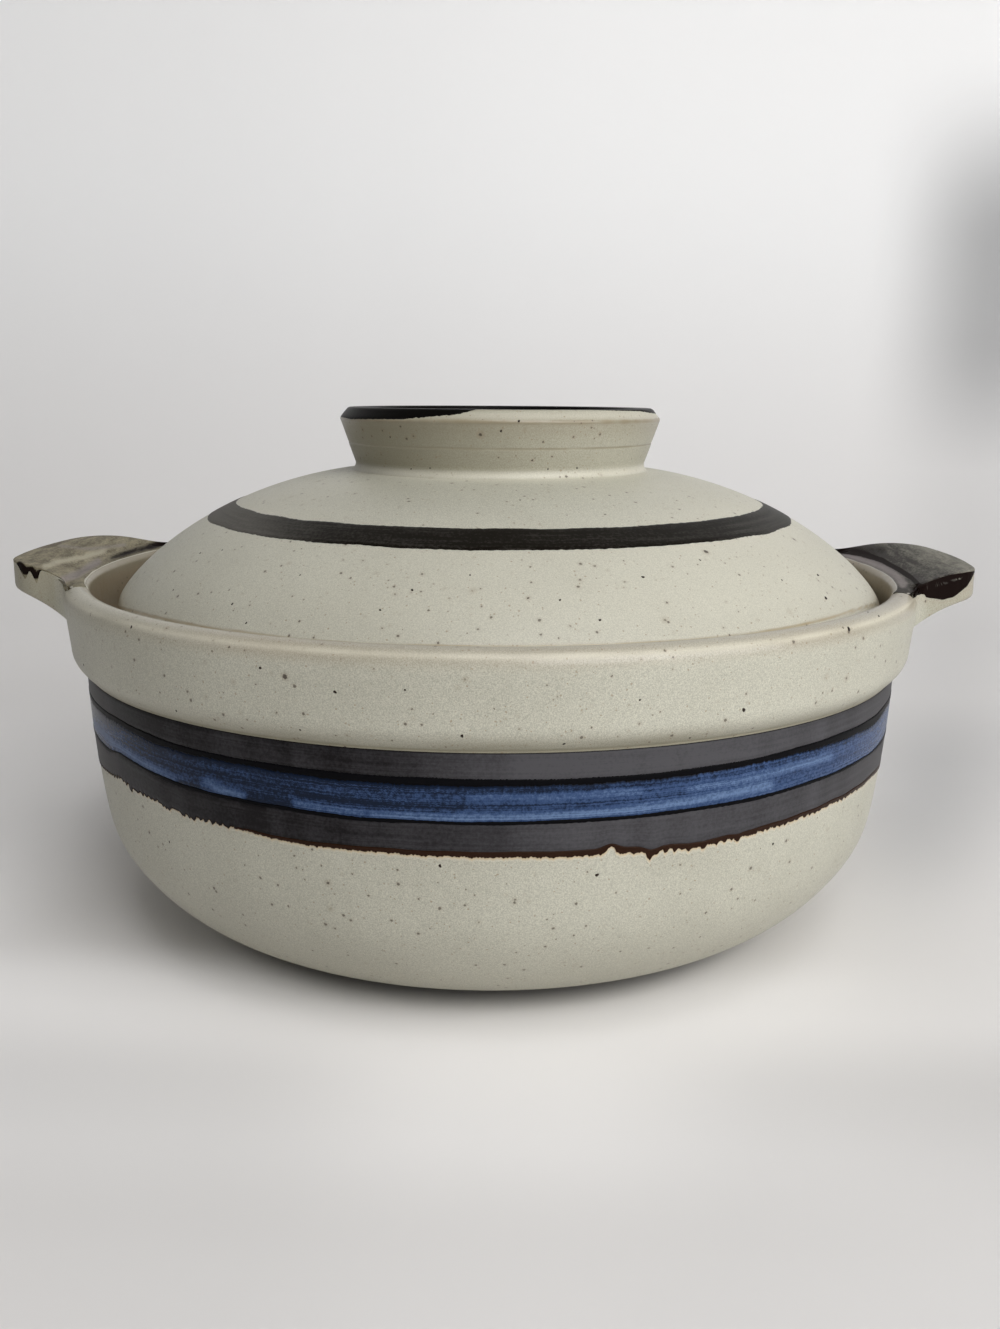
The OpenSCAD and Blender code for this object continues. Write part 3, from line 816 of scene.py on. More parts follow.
knob_loop = chain(
    knob_out, 0.6 * MM,
    line((KNOB_R, SHOULDER_Z), (BEVEL_R, KNOB_TOP), 6), 0.7 * MM,
    line((BEVEL_R, KNOB_TOP), (LIP_R, KNOB_TOP), 6), 0.9 * MM,
    line((LIP_R, KNOB_TOP), (KNOB_FOOT_R - 7 * MM, SUNK_Z), 16), 0,
    line((KNOB_FOOT_R - 7 * MM, SUNK_Z), (FILLET_R, SUNK_Z), 5)[:-1],
)


def knob_tint(loop, angle):
    """Warm, dark and pale shares at each point of the knob: a warm line under the shoulder, painted shade
    in the groove and on the wall, most on the left, away from the light, a painted highlight on the fillet
    at its foot and pale glaze on the bevel.
    """
    r, z = loop[:, :1], loop[:, 1:]
    line_at = hump(z, SHOULDER_Z - 0.1 * MM, 0.6 * MM)
    warm = line_at * (0.95 + 0.5 * ripple(angle, 37, 2, 60))
    warm = warm + 0.22 * hump(z, SHOULDER_Z - 2 * MM, 3 * MM)
    # Painted shade in the turned groove.
    groove_shade = hump(z, GROOVE_Z, 0.35 * MM) * (0.7 + 0.4 * ripple(angle, 38, 2, 30))
    # Painted highlight on the fillet at the knob's foot.
    pale = hump(z, CROWN_Z + 0.6 * MM, 1.5 * MM)
    warm = np.clip(warm + 0.5 * groove_shade, 0, 1)
    # Painted shade on the knob's wall, most on the left, away from the light, and less on the fillet.
    dark = (0.72 - 0.42 * np.cos(angle)) * (1 - 0.8 * pale)
    dark = np.clip(dark + groove_shade + 0.7 * line_at, 0, 1)
    bevel = 0.5 * hump(z, KNOB_TOP - 1.5 * MM, 1.4 * MM) * (r > LIP_R)
    return np.stack(np.broadcast_arrays(warm, dark, pale * 0.8 + bevel), -1)


def lean(points):
    """The knob was cut a little lower at its back: heights over the crown shrink with the way back."""
    y, z = points[..., 1], points[..., 2]
    lower = (KNOB_LEAN * (y + BEVEL_R) + KNOB_COAT) / (KNOB_TOP - CROWN_Z)
    return np.stack([points[..., 0], y, z - np.clip(z - CROWN_Z, 0, None) * lower], -1)


knob_angle = around(420)[None, :]
knob_grid = lean(turned(knob_loop[:, :1], knob_loop[:, 1:], knob_angle, LID_X))
knob = surface("knob", knob_grid, wrap_rows=True, wrap_cols=True,
               marks={"tint": knob_tint(knob_loop, knob_angle)})
stands_for(knob, "lid", "stoneware", "knob_ring")

# %% [markdown]
# Each lug is a slab of clay pulled out of the collar and pressed flat. Seen from above, its tip follows a
# circle round the pot and its sides run back to the rim. The corners were rounded by hand, so no two are
# the same. A section through it can't be turned, because its reach changes with the angle. So the grid
# has one section for every angle, and the corner points of the section follow the reach.

# %% The lugs' outlines from above
LUG_COLS = 260
SIDE_BLEND = 7.5 * MM


def on_circle(radius, degrees):
    """Points of a circle round the axis at angles in degrees."""
    angle = np.radians(degrees)
    return np.stack([radius * np.cos(angle), radius * np.sin(angle)], -1)


def lug_outline(roots, corners, eases):
    """Angles from the lug's middle and distances from the axis, at equal steps along the lug's outline.
    roots and corners are pairs of degrees, eases a pair of lengths by which the corners are cut back."""
    tip = on_circle(TIP_X, np.linspace(*corners, 40))
    start, end = on_circle(CREST_R - 1.5 * MM, np.array(roots))
    edge = chain(line(start, tip[0], 40), eases[0], tip, eases[1], line(tip[-1], end, 40))
    angle, reach = np.arctan2(edge[:, 1], edge[:, 0]), np.hypot(*edge.T)
    beyond = np.radians(4.0)
    angle = np.r_[angle[0] - beyond, angle, angle[-1] + beyond]
    reach = np.r_[reach[0], reach, reach[-1]]
    way = np.r_[0, np.cumsum(np.hypot(np.diff(angle) * RIM_R, np.diff(reach)))]
    steps = np.linspace(0, way[-1], LUG_COLS)
    return np.interp(steps, way, angle), np.interp(steps, way, reach)


def soft_max(a, b, blend):
    """The larger of two lengths, with a fillet where they are nearly equal: max + h^2 blend / 4."""
    h = np.clip(blend - np.abs(a - b), 0, None) / blend
    return np.maximum(a, b) + h * h * blend / 4


LUG_OUTLINES = {
    "right": (0.0, lug_outline((-15.3, 24.1), (-10.7, 15.5), (7 * MM, 12 * MM))),
    "left": (np.pi, lug_outline((-24.5, 17.6), (-15.5, 11.8), (12 * MM, 11 * MM))),
}

# %% [markdown]
# A lug's section starts on the bowl's wall, runs out along its underside, round its edge, back over its
# top to the crease and up on the rim's crest. Where the lug ends at its sides, its reach shrinks to the
# rim's own, and the section melts into the rim. Joining two bodies with a Boolean would leave a sharp
# seam there.

# %% The lug's sections
TOP_Z, TOP_OUT_Z = BOWL_TOP - 1.2 * MM, BOWL_TOP + 4.5 * MM
UNDER_Z, UNDER_OUT_Z = BOWL_TOP - 11.6 * MM, BOWL_TOP - 4.0 * MM
TOP_SHARES, UNDER_SHARES = [(0.25, 0.3), (0.45, 0.92)], [(0.3, 0.4), (0.55, 0.9)]
top_run = bend((CREST_R, TOP_Z), (TIP_X, TOP_OUT_Z), TOP_SHARES, 40)
under_run = bend((COLLAR_R, UNDER_Z), (TIP_X, UNDER_OUT_Z), UNDER_SHARES, 40)
ON_RIM_R, CREASE_R = 127.4 * MM, 128.5 * MM
TUCK_DOWN = (18 * MM, 16 * MM)


def eased_path(points, reaches, steps=5):
    """Path through points (corners, angles, 2) with each corner eased by its own reach, at most 0.45 of
    the way to its neighbours."""
    rows = [points[0]]
    for before, here, after, most in zip(points[:-2], points[1:-1], points[2:], reaches[1:-1]):
        if not most:
            rows.append(here)
            continue
        to_a, to_b = before - here, after - here
        far_a, far_b = np.hypot(*to_a.T)[:, None] + 1e-9, np.hypot(*to_b.T)[:, None] + 1e-9
        cut = np.minimum(most, 0.45 * np.minimum(far_a, far_b))
        a, b = here + to_a / far_a * cut, here + to_b / far_b * cut
        rows += [(1 - t) ** 2 * a + 2 * t * (1 - t) * here + t**2 * b for t in np.linspace(0, 1, steps)]
    return np.array([*rows, points[-1]])


TOP_STEPS = (0.08, 0.18, 0.3, 0.42, 0.54, 0.66, 0.78, 0.9)


def lug_section(out):
    """Sections (points, angles, 2) from the collar under the lug, round its edge and back over the rim's
    crest."""
    low_r = wall_radius(UNDER_Z)
    under_r = soft_max(out, low_r, SIDE_BLEND)
    face_r = soft_max(out, RIM_R, SIDE_BLEND)
    over_r = soft_max(out, ON_RIM_R, SIDE_BLEND)
    stands = smooth_step(face_r - RIM_R, 0, 6 * MM)
    under_z = np.interp(under_r, *under_run.T)
    over_z = np.interp(over_r, *top_run.T)
    face_z = RIM_Z + stands * ((under_z + over_z) / 2 - RIM_Z)
    crease_r = ON_RIM_R + (CREASE_R - ON_RIM_R) * stands
    crease_z = np.interp(crease_r, *top_run.T) * stands + TOP_Z * (1 - stands)

    def at(r, z):
        """Points of one radius and height for every angle."""
        return np.stack(np.broadcast_arrays(r, z, out)[:2], -1)

    hidden_z, start_z = (BOWL_TOP - down for down in TUCK_DOWN)
    crest = [at(r, np.interp(r, crest_run[::-1, 0], crest_run[::-1, 1]) + 0.03 * MM)
             for r in (CREST_R - 0.5 * MM, CREST_R - 1.1 * MM, CREST_R - 1.7 * MM)]
    under = [low_r + (under_r - low_r) * share for share in (0.3, 0.55, 0.8)]
    under = [at(r, np.interp(r, *under_run.T)) for r in under]
    over = []
    for share in TOP_STEPS:
        r = over_r + (crease_r - over_r) * share
        straight = over_z + (crease_z - over_z) * share
        over.append(at(r, np.interp(r, *top_run.T) * stands + straight * (1 - stands)))
    points = [
        at(wall_radius(hidden_z) - 0.4 * MM, hidden_z), at(wall_radius(start_z), start_z),
        at(low_r, UNDER_Z), *under, at(under_r, under_z), at(face_r, face_z), at(over_r, over_z),
        *over, at(crease_r, crease_z), at(CREST_R + 1.6 * MM, BOWL_TOP - 0.12 * MM),
        at(CREST_R + 0.4 * MM, BOWL_TOP - 0.01 * MM), *crest, at(CREST_R - 2.5 * MM, BOWL_TOP - 2.2 * MM),
    ]
    reaches = [0, 0, 4, 0, 0, 0, 3.4, 2.2, 1.0, *[0] * len(TOP_STEPS), 1.4, 0.6, 0, 0, 0, 0, 0]
    return eased_path(points, [reach * MM for reach in reaches])


# %% [markdown]
# The sections are turned to their angles and closed through the inside of the clay. The end sections are
# sunk a little into the rim, so that no edge stands out from it. The tint makes the lug's edge warmer and
# paints shade on its side, more so on the left lug, which faces away from the light.

# %% The lugs
LUG_WARM = {"right": 0.3, "left": 0.12}
# LUG_SHADE is the share of painted shade on each lug.
LUG_SHADE = {"right": 0.45, "left": 0.75}
END_DEGREES, END_SUNK, REAR_IN = (0.5, 3.5), 0.5 * MM, 2.0 * MM


def lug_piece(side, name):
    """One lug: its sections closed through the inside of the collar's clay, turned towards its side."""
    towards, (angle, out) = LUG_OUTLINES[side]
    path = lug_section(out)
    from_end = np.minimum(angle - angle[0], angle[-1] - angle)
    path[..., 0] -= (1 - smooth_step(from_end, *np.radians(END_DEGREES))) * END_SUNK
    rear = np.linspace(path[-1], path[0], 5)[1:-1] - [REAR_IN, 0]
    loop = np.concatenate([path, rear])
    grid = turned(loop[..., 0], loop[..., 1], (angle + towards)[None, :]).transpose(1, 0, 2)
    poles = [grid[0].mean(0), grid[-1].mean(0)]
    warm = smooth_step(loop[..., 1], BOWL_TOP - 8 * MM, BOWL_TOP) * LUG_WARM[side]
    # Painted shade on the part of the lug that stands out beyond the rim.
    stands = smooth_step(np.hypot(grid[..., 0], grid[..., 1]).T, RIM_R, RIM_R + 4 * MM)
    tint = np.stack([warm, LUG_SHADE[side] * stands, np.zeros_like(warm)], -1).transpose(1, 0, 2)
    piece = surface(name, grid, wrap_cols=True, poles=poles, marks={"tint": tint})
    return stands_for(piece, "bowl", "stoneware", "lug_" + side), path


lug_right, right_path = lug_piece("right", "lug_right_clay")
lug_left, left_path = lug_piece("left", "lug_left_clay")

# %% [markdown]
# The lugs were dipped or brushed with iron glaze on top. It has flowed over the front edge: on the right
# lug as one thick dark roll, on the left one as two teeth. How far it hangs down is read off the picture
# along that edge. The glaze is thick and dark in the crease and at the edge, thin and violet on the rim,
# so those places are painted on. A thin painted highlight runs along the right lug's rolled front edge.

# %% The lugs' glaze
LUG_COAT = 0.16 * MM
TOP_EDGE_ROW = 22
FACE_ROW = 8
RIGHT_HANG = [(903, 0), (911, 1.6), (919, 3.2), (930, 5.3), (945, 7.4), (955, 7.3), (968, 4.6), (974, 1.6),
              (976, 1.0)]
LEFT_HANG = [(8, 0.5), (15, 0.5), (18, 1.4), (24.5, 4.8), (28.5, 2.2), (30.5, 2.1), (36, 5.0), (40, 1.4),
             (43, 0.5), (70, 0.2)]


def hang(path, angle, seen):
    """Places down the front face that the glaze reaches: seen holds the pixel across and the length in
    mm."""
    edge_x, _ = seen_at(turned(path[TOP_EDGE_ROW, :, 0], path[TOP_EDGE_ROW, :, 1], angle))
    pixels, lengths = np.array(seen, float).T
    drop = np.interp(edge_x, pixels, lengths) * MM
    number = np.arange(len(angle))
    tip = np.abs(edge_x - PHOTO_W / 2).argmax()
    on_right = angle[0] < np.pi / 2
    seen_side = number <= tip if on_right else number >= tip
    drop = np.where(seen_side & (np.sin(angle) < 0), drop, 0.9 * MM)
    rows = np.arange(FACE_ROW, TOP_EDGE_ROW + 1)
    steps = np.hypot(*np.moveaxis(np.diff(path[rows], axis=0), 2, 0))
    below = np.vstack([np.cumsum(steps[::-1], axis=0)[::-1], np.zeros_like(angle)])
    return np.array([np.interp(-d, -column, rows) for d, column in zip(drop, below.T)])


def right_paint(points):
    """Dark, violet and pale shares on the right lug, with a painted highlight that thins the dark share
    along the front edge.
    """
    x, y = seen_at(points)
    top = np.interp(x, [905, 918, 935, 949, 962, 974], [588, 585, 578.5, 574, 572, 570])
    face = smooth_step(y - top, -0.5, 2.5) * smooth_step(x, 908, 918)
    crease = [(835, 550), (860, 553.5), (882, 560.5), (900, 570), (912, 578), (919, 585)]
    crease = 1.15 * stroke(x, y, crease, 3.0)
    root = 0.47 * stroke(x, y, [(836, 547), (882, 551)], 9.0)
    violet = 1.2 * stroke(x, y, [(845, 556), (872, 563), (890, 571.5), (903, 584)], 6.5)
    # Painted highlight: a thin line along the rolled front edge lifts the dark glaze.
    line = stroke(x, y, [(926, 588), (945, 583), (962, 578)], 1.5)
    dark = np.clip(face + crease + root, 0, 1) * (1 - 0.8 * line)
    return np.stack([dark, np.clip(violet, 0, 1), np.zeros_like(line)], -1)


def left_paint(points):
    """Dark, violet and pale shares on the left lug."""
    x, y = seen_at(points)
    teeth = 1.2 * stroke(x, y, [(20, 565), (25, 571), (31, 570), (36, 575), (40, 573)], 4.6)
    edge = stroke(x, y, [(44, 572), (60, 579)], 1.6)
    band = 0.6 * stroke(x, y, [(176, 540), (165, 542), (150, 546.5), (133, 551.5), (112, 558)], 5.5)
    band += 0.25 * stroke(x, y, [(178, 540), (150, 547)], 4.0)
    band -= 0.12 * stroke(x, y, [(112, 558), (96, 566)], 7.0)
    violet = stroke(x, y, [(64, 579), (76, 575), (88, 568), (98, 562)], 6.5)
    violet += 0.7 * stroke(x, y, [(60, 546), (90, 549), (125, 545)], 3.5)
    pale = stroke(x, y, [(45, 566), (62, 561), (85, 557), (104, 551)], 5.0)
    return np.stack([np.clip(teeth + edge + band, 0, 1), np.clip(violet, 0, 1), pale], -1)


lug_coats = {}
for side, path, seen, paint in (("right", right_path, RIGHT_HANG, right_paint),
                                ("left", left_path, LEFT_HANG, left_paint)):
    towards, (angle, out) = LUG_OUTLINES[side]
    first = hang(path, angle + towards, seen)
    last = len(path) - 2.25 + 0.2 * ripple(angle, 42, 8, 60)
    made = coat("iron_on_lug_" + side, path, angle + towards, first, last, LUG_COAT, rows=100, half=True,
                paint=paint)
    lug_coats[side] = stands_for(made, "bowl", "lug_iron_glaze", "lug_glaze_" + side)

# %% [markdown]
# The knob's rim was dipped in black glaze while the lid stood upside down, so its lower edge runs level
# round the knob, with small waves. The band on the lid was brushed on the turning wheel. Both are coats
# like the bowl's bands. The knob's edge is read off the picture at the front, and waves gently round the
# back.

# %% The knob's glaze and the lid's band
KNOB_GLAZE_FOOT = [(336, 416), (343, 418), (350, 419.5), (400, 420), (425, 418.5), (440, 417), (455, 416),
                   (465, 413.5), (472, 410.8), (478, 408.8), (488, 408.2), (580, 409.7), (640, 411.5),
                   (651, 414), (662, 415)]
knob_turn = around(1200) - np.pi
knob_runs = knob_over[:, None, :]
knob_seen = place_seen(knob_runs, knob_turn, 3, len(knob_over) - 12, KNOB_GLAZE_FOOT, LID_X, lean)
knob_hidden = 12.0 + 1.2 * ripple(knob_turn, 43, 1, 9)
faces_us = smooth_step(-np.sin(knob_turn), 0.02, 0.2)
knob_low = knob_hidden + (knob_seen - knob_hidden) * faces_us + 0.25 * ripple(knob_turn, 44, 40, 200)
knob_high = np.full(len(knob_turn), len(knob_over) - 1.4)
knob_coat = coat("knob_glaze", knob_runs, knob_turn, knob_low, knob_high, 0.9 * KNOB_COAT, LID_X,
                 rows=22, warp=lean)
stands_for(knob_coat, "lid", "black_glaze", "knob_rim_glaze")

lid_turn = around(1500) - np.pi
band_lo, band_hi = (box.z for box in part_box("lid_iron_band"))
lid_top = band_hi + 0.12 * MM * ripple(lid_turn, 51, 1, 30) + 0.05 * MM * ripple(lid_turn, 52, 60, 300)
lid_foot = band_lo + 0.12 * MM * ripple(lid_turn, 53, 1, 30) + 0.06 * MM * ripple(lid_turn, 54, 60, 300)
# Painted sheen on the lid's band: lightest at the left end, a little at the right end.
LID_SHEEN_AT = [205, 250, 290, 330, 480, 640, 720, 790]
LID_SHEEN = [1.0, 0.75, 0.25, 0.06, 0.0, 0.0, 0.02, 0.25]


def dome_place(z):
    """Place along the dome's run at a height."""
    return np.interp(z, dome_run[:, 1], np.arange(len(dome_run)))


def sheen_paint(points):
    """Share of painted sheen on the lid's band, from the pixels across."""
    x, y = seen_at(points)
    front = smooth_step(-points[..., 1], 0, 12 * MM)
    thin_and_sheen = 0.25 + (np.interp(x, LID_SHEEN_AT, LID_SHEEN) - 0.25) * front
    return np.stack([thin_and_sheen, thin_and_sheen, thin_and_sheen], -1)


lid_band = coat("lid_band", dome_run[:, None, :], lid_turn, dome_place(lid_foot), dome_place(lid_top),
                LUG_COAT, LID_X, paint=sheen_paint)
stands_for(lid_band, "lid", "lid_iron_glaze", "lid_iron_band")

# %% [markdown]
# A few grains of iron were so big that each one left its own black spot. They are flat lenses of glaze,
# each placed by the picture point where it is seen and laid on the clay there, with the clay's own slope.

# %% Big specks
WALL_SPOTS = [(849, 629, 1.2), (826, 598, 0.0), (842, 609, 0.7), (879, 616, 0.7), (744, 710, 1.0),
              (597, 875, 0.9), (440, 866, 0.8), (773, 844, 0.7), (335, 692, 0.8), (462, 736, 0.8),
              (176, 711, 0.7), (447, 765, 0.8), (512, 777, 1.1), (492, 757, 0.6), (555, 772, 0.5),
              (260, 668, 0.7), (131, 627, 0.8), (564, 744, 0.7), (169, 842, 0.6), (690, 738, 0.6),
              (83, 665, 0.8), (640, 700, 0.5), (405, 690, 0.5), (300, 730, 0.5)]
LID_SPOTS = [(826, 598, 1.1), (818, 575, 0.9), (782, 580, 0.6), (200, 553, 0.7), (232, 604, 0.7),
             (246, 623, 0.6), (222, 550, 0.6), (173, 590, 0.6), (412, 590, 0.7), (560, 600, 0.6),
             (643, 577, 0.8), (330, 470, 0.7), (470, 575, 0.5), (700, 560, 0.6), (380, 610, 0.6),
             (600, 620, 0.7), (300, 575, 0.5), (520, 500, 0.6)]
KNOB_SPOTS = [(501, 431, 0.7), (390, 437, 0.6), (535, 458, 0.7), (408, 457, 0.6), (417, 453, 0.5),
              (417, 460, 0.5), (519, 421, 0.7), (594, 428, 0.7), (430, 468, 0.5), (411, 469, 0.5),
              (548, 469, 0.5), (577, 468, 0.6)]


SPECK_HIGH, SPECK_EDGE, SPECK_DEEP = 0.07 * MM, 0.01 * MM, 0.2 * MM


def spots(name, body, places, section, axis_x=0.0, steps=12):
    """Flat closed lenses on a turned surface: a ring of points, each at a wavy reach from the middle
    along the spin and the slope, with one point over it and one in the clay. places holds picture points
    and widths in millimetres."""
    x, y, width = np.array([place for place in places if place[2]], float).T

    def radius_at(z):
        """Radius of the section at a height, and none above it."""
        return np.where(z < section[:, 1].max(), np.interp(z, section[:, 1], section[:, 0]), 0)

    angle, z = meet(np.stack([x, y], -1), radius_at, axis_x)
    small = 0.2 * MM
    slope = (radius_at(z + small) - radius_at(z - small)) / (2 * small)
    spin = np.stack([-np.sin(angle), np.cos(angle), np.zeros_like(angle)], -1)
    rise = np.stack([slope * np.cos(angle), slope * np.sin(angle), np.ones_like(angle)], -1)
    rise /= np.linalg.norm(rise, axis=1)[:, None]
    out = np.cross(spin, rise)
    middle = turned(radius_at(z), z, angle, axis_x)[:, None]
    spin, rise, out = spin[:, None], rise[:, None], out[:, None]
    ring = around(steps)[None, :]
    uneven = 1 + 0.16 * np.sin(2 * ring + 9 * angle[:, None]) + 0.1 * np.sin(3 * ring + 5 * angle[:, None])
    reach = width[:, None] / 2 * MM * uneven
    edge = middle + (reach * np.cos(ring))[..., None] * spin + (reach * np.sin(ring))[..., None] * rise
    lens = [middle + SPECK_HIGH * out, edge + SPECK_EDGE * out, middle - SPECK_DEEP * out]
    points = np.concatenate(lens, 1).reshape(-1, 3)
    first = np.arange(len(x))[:, None] * (steps + 2)
    here, after = np.arange(steps)[None, :] + 1, np.roll(np.arange(steps), -1)[None, :] + 1
    tops = np.stack(np.broadcast_arrays(first, first + here, first + after), -1)
    bottoms = np.stack(np.broadcast_arrays(first + steps + 1, first + after, first + here), -1)
    piece = smooth_object(name, points, np.concatenate([tops, bottoms], 1).reshape(-1, 3).tolist())
    print(f"{name}: {len(x)} spots, heights in mm {(z / MM).min():.0f} to {(z / MM).max():.0f}")
    return stands_for(piece, body, "iron_glaze" if body == "bowl" else "lid_iron_glaze")


bowl_spots = spots("big_specks_bowl", "bowl", WALL_SPOTS, outside)
lid_spots = spots("big_specks_lid", "lid", LID_SPOTS, dome_run, LID_X)
knob_wall = np.vstack([line(FLARE, (KNOB_R, SHOULDER_Z), 3), (BEVEL_R, KNOB_TOP)])
knob_spots = spots("big_specks_knob", "lid", KNOB_SPOTS, knob_wall, LID_X)

# %% [markdown]
# Materials are node trees. A few short helpers keep the code readable: one adds a node and plugs in its
# inputs, whether they are numbers, colours or other nodes' outputs.


# %% Node helpers
def plug(tree, socket, value):
    """Links an output to the socket, or sets the socket's own value."""
    if isinstance(value, bpy.types.NodeSocket):
        tree.links.new(value, socket)
    elif isinstance(value, (tuple, list)) and len(value) == 3 and socket.type == "RGBA":
        socket.default_value = (*value, 1)
    else:
        socket.default_value = value


def add(tree, kind, out=0, settings=None, **inputs):
    """Adds a shader node, sets and plugs its inputs by name or by number (in3 is the fourth), and gives
    an output."""
    made = tree.nodes.new("ShaderNode" + kind)
    for key, value in (settings or {}).items():
        setattr(made, key, value)
    for key, value in inputs.items():
        number = key[2:] if key.startswith("in") and key[2:].isdigit() else None
        plug(tree, made.inputs[int(number) if number else key.replace("_", " ")], value)
    return made.outputs[out]


def noise(tree, where, scale, detail=2.0, rough=0.5, warp=0.0):
    """Noise between about 0.3 and 0.7."""
    return add(tree, "TexNoise", Vector=where, Scale=scale, Detail=detail, Roughness=rough, Distortion=warp)


def spread(tree, value, low, high, to=(0.0, 1.0)):
    """Smooth change from one value to another while the input goes from low to high."""
    return add(tree, "MapRange", settings={"interpolation_type": "SMOOTHSTEP"}, Value=value, From_Min=low,
               From_Max=high, To_Min=to[0], To_Max=to[1])


def sums(tree, how, a, b=0.0, clamp=False):
    """A sum of two values: ADD, MULTIPLY, SUBTRACT and so on."""
    return add(tree, "Math", settings={"operation": how, "use_clamp": clamp}, in0=a, in1=b)


def times(tree, first, *others):
    """The product of values."""
    for other in others:
        first = sums(tree, "MULTIPLY", first, other)
    return first


def blend(tree, share, a, b, how="MIX"):
    """Mixes two colours by a share."""
    settings = {"data_type": "RGBA", "blend_type": how}
    return add(tree, "Mix", out=2, settings=settings, in0=share, in6=a, in7=b)


def stretched(tree, where, by):
    """The same place with its axes scaled."""
    return add(tree, "Mapping", Vector=where, Scale=by)


def read_mark(tree, name):
    """The three shares that the mesh keeps at its points under a name."""
    mark = add(tree, "Attribute", out=1, settings={"attribute_name": name})
    return add(tree, "SeparateXYZ", Vector=mark).node.outputs


def place_of(tree, where):
    """The three coordinates of a place."""
    return add(tree, "SeparateXYZ", Vector=where).node.outputs


def group(name, inputs, outputs):
    """A node group with named sockets, still empty. inputs are (name, kind, value)."""
    tree = bpy.data.node_groups.new(name, "ShaderNodeTree")
    for label, kind, value in inputs:
        made = tree.interface.new_socket(label, in_out="INPUT", socket_type="NodeSocket" + kind)
        if value is not None:
            made.default_value = value
    for label, kind in outputs:
        tree.interface.new_socket(label, in_out="OUTPUT", socket_type="NodeSocket" + kind)
    start, end = tree.nodes.new("NodeGroupInput"), tree.nodes.new("NodeGroupOutput")
    return tree, start.outputs, end.inputs


def use(tree, inner, **inputs):
    """Places a group and gives its outputs."""
    made = tree.nodes.new("ShaderNodeGroup")
    made.node_tree = inner
    for key, value in inputs.items():
        plug(tree, made.inputs[key.replace("_", " ")], value)
    return made.outputs


def material(name):
    """A material with a Principled shader, and the tree, the shader and the object's own place."""
    made = bpy.data.materials.new(name)
    made.use_nodes = True
    tree = made.node_tree
    shader = tree.nodes["Principled BSDF"]
    where = tree.nodes.new("ShaderNodeTexCoord").outputs["Object"]
    return made, tree, shader, where


# %% [markdown]
# Iron in the clay melts through the glaze as small dark specks. A Voronoi texture gives each cell one
# point. The distance to it, set against a random size per cell, makes round specks of many sizes, most of
# them tiny.

# %% Iron specks
specks, got, give = group(
    "iron_specks",
    [("Where", "Vector", None), ("Scale", "Float", 300.0), ("Size", "Float", 0.2), ("Rare", "Float", 0.5)],
    [("Core", "Float"), ("Halo", "Float")])
WOBBLE = 0.4 * MM
wobbly = add(specks, "TexNoise", out=1, Vector=got["Where"], Scale=2500.0, Detail=1.0)
shifted = add(specks, "VectorMath", settings={"operation": "MULTIPLY_ADD"}, in0=wobbly, in1=(WOBBLE,) * 3,
              in2=got["Where"])
distance = add(specks, "TexVoronoi", Vector=shifted, Scale=got["Scale"])
luck, second, _ = add(specks, "SeparateColor", Color=distance.node.outputs["Color"]).node.outputs
there = sums(specks, "GREATER_THAN", luck, got["Rare"])
size = times(specks, sums(specks, "POWER", second, 1.6), got["Size"])
size = times(specks, sums(specks, "ADD", size, 0.03), there)
speck_ends = {"Core": sums(specks, "ADD", size, 0.001), "Halo": times(specks, size, 2.4)}
for part, outer in speck_ends.items():
    shape = spread(specks, distance, times(specks, size, 0.6), outer, (1.0, 0.0))
    specks.links.new(times(specks, shape, there), give[part])

# %% [markdown]
# The pale glaze is full of small crystals, so it looks mottled close up and cloudy from afar. Three
# noises of very different sizes give that: clouds of a few centimetres, blots of a few millimetres and a
# grain below one.

# %% Mottled grain
MOTTLES = {
    "Cloud": (dict(scale=22.0, detail=3.0), (0.3, 0.7)),
    "Blot": (dict(scale=320.0, detail=5.0, rough=0.7, warp=0.3), (0.3, 0.7)),
    "Grain": (dict(scale=3300.0, detail=3.0, rough=0.75), (0.28, 0.72)),
}
mottle, got, give = group("mottle", [("Where", "Vector", None)], [(kind, "Float") for kind in MOTTLES])
for kind, (words, ends) in MOTTLES.items():
    mottle.links.new(spread(mottle, noise(mottle, got["Where"], **words), *ends), give[kind])


# %% [markdown]
# The base glaze is pale grey-green over clay that holds iron. Its colour is built up as the potter's
# layers are: a cloudy base, a grain, then the tints of the mesh, then the specks on top. The tints hold
# the glaze's warm tones, and also painted shade and painted highlights. Where it is warm, over the rim,
# it is thin and glassy, and a clear coat over the shader gives that gloss.

# %% The pale stoneware glaze
def finished(tree, shader, colour, rough, specular, height, strength, distance=0.0002):
    """Plugs colour, roughness and a bump into the shader, and sets how strongly it mirrors."""
    plug(tree, shader.inputs["Base Color"], colour)
    plug(tree, shader.inputs["Roughness"], rough)
    shader.inputs["Specular IOR Level"].default_value = specular
    bump = add(tree, "Bump", Height=height, Strength=strength, Distance=distance)
    plug(tree, shader.inputs["Normal"], bump)


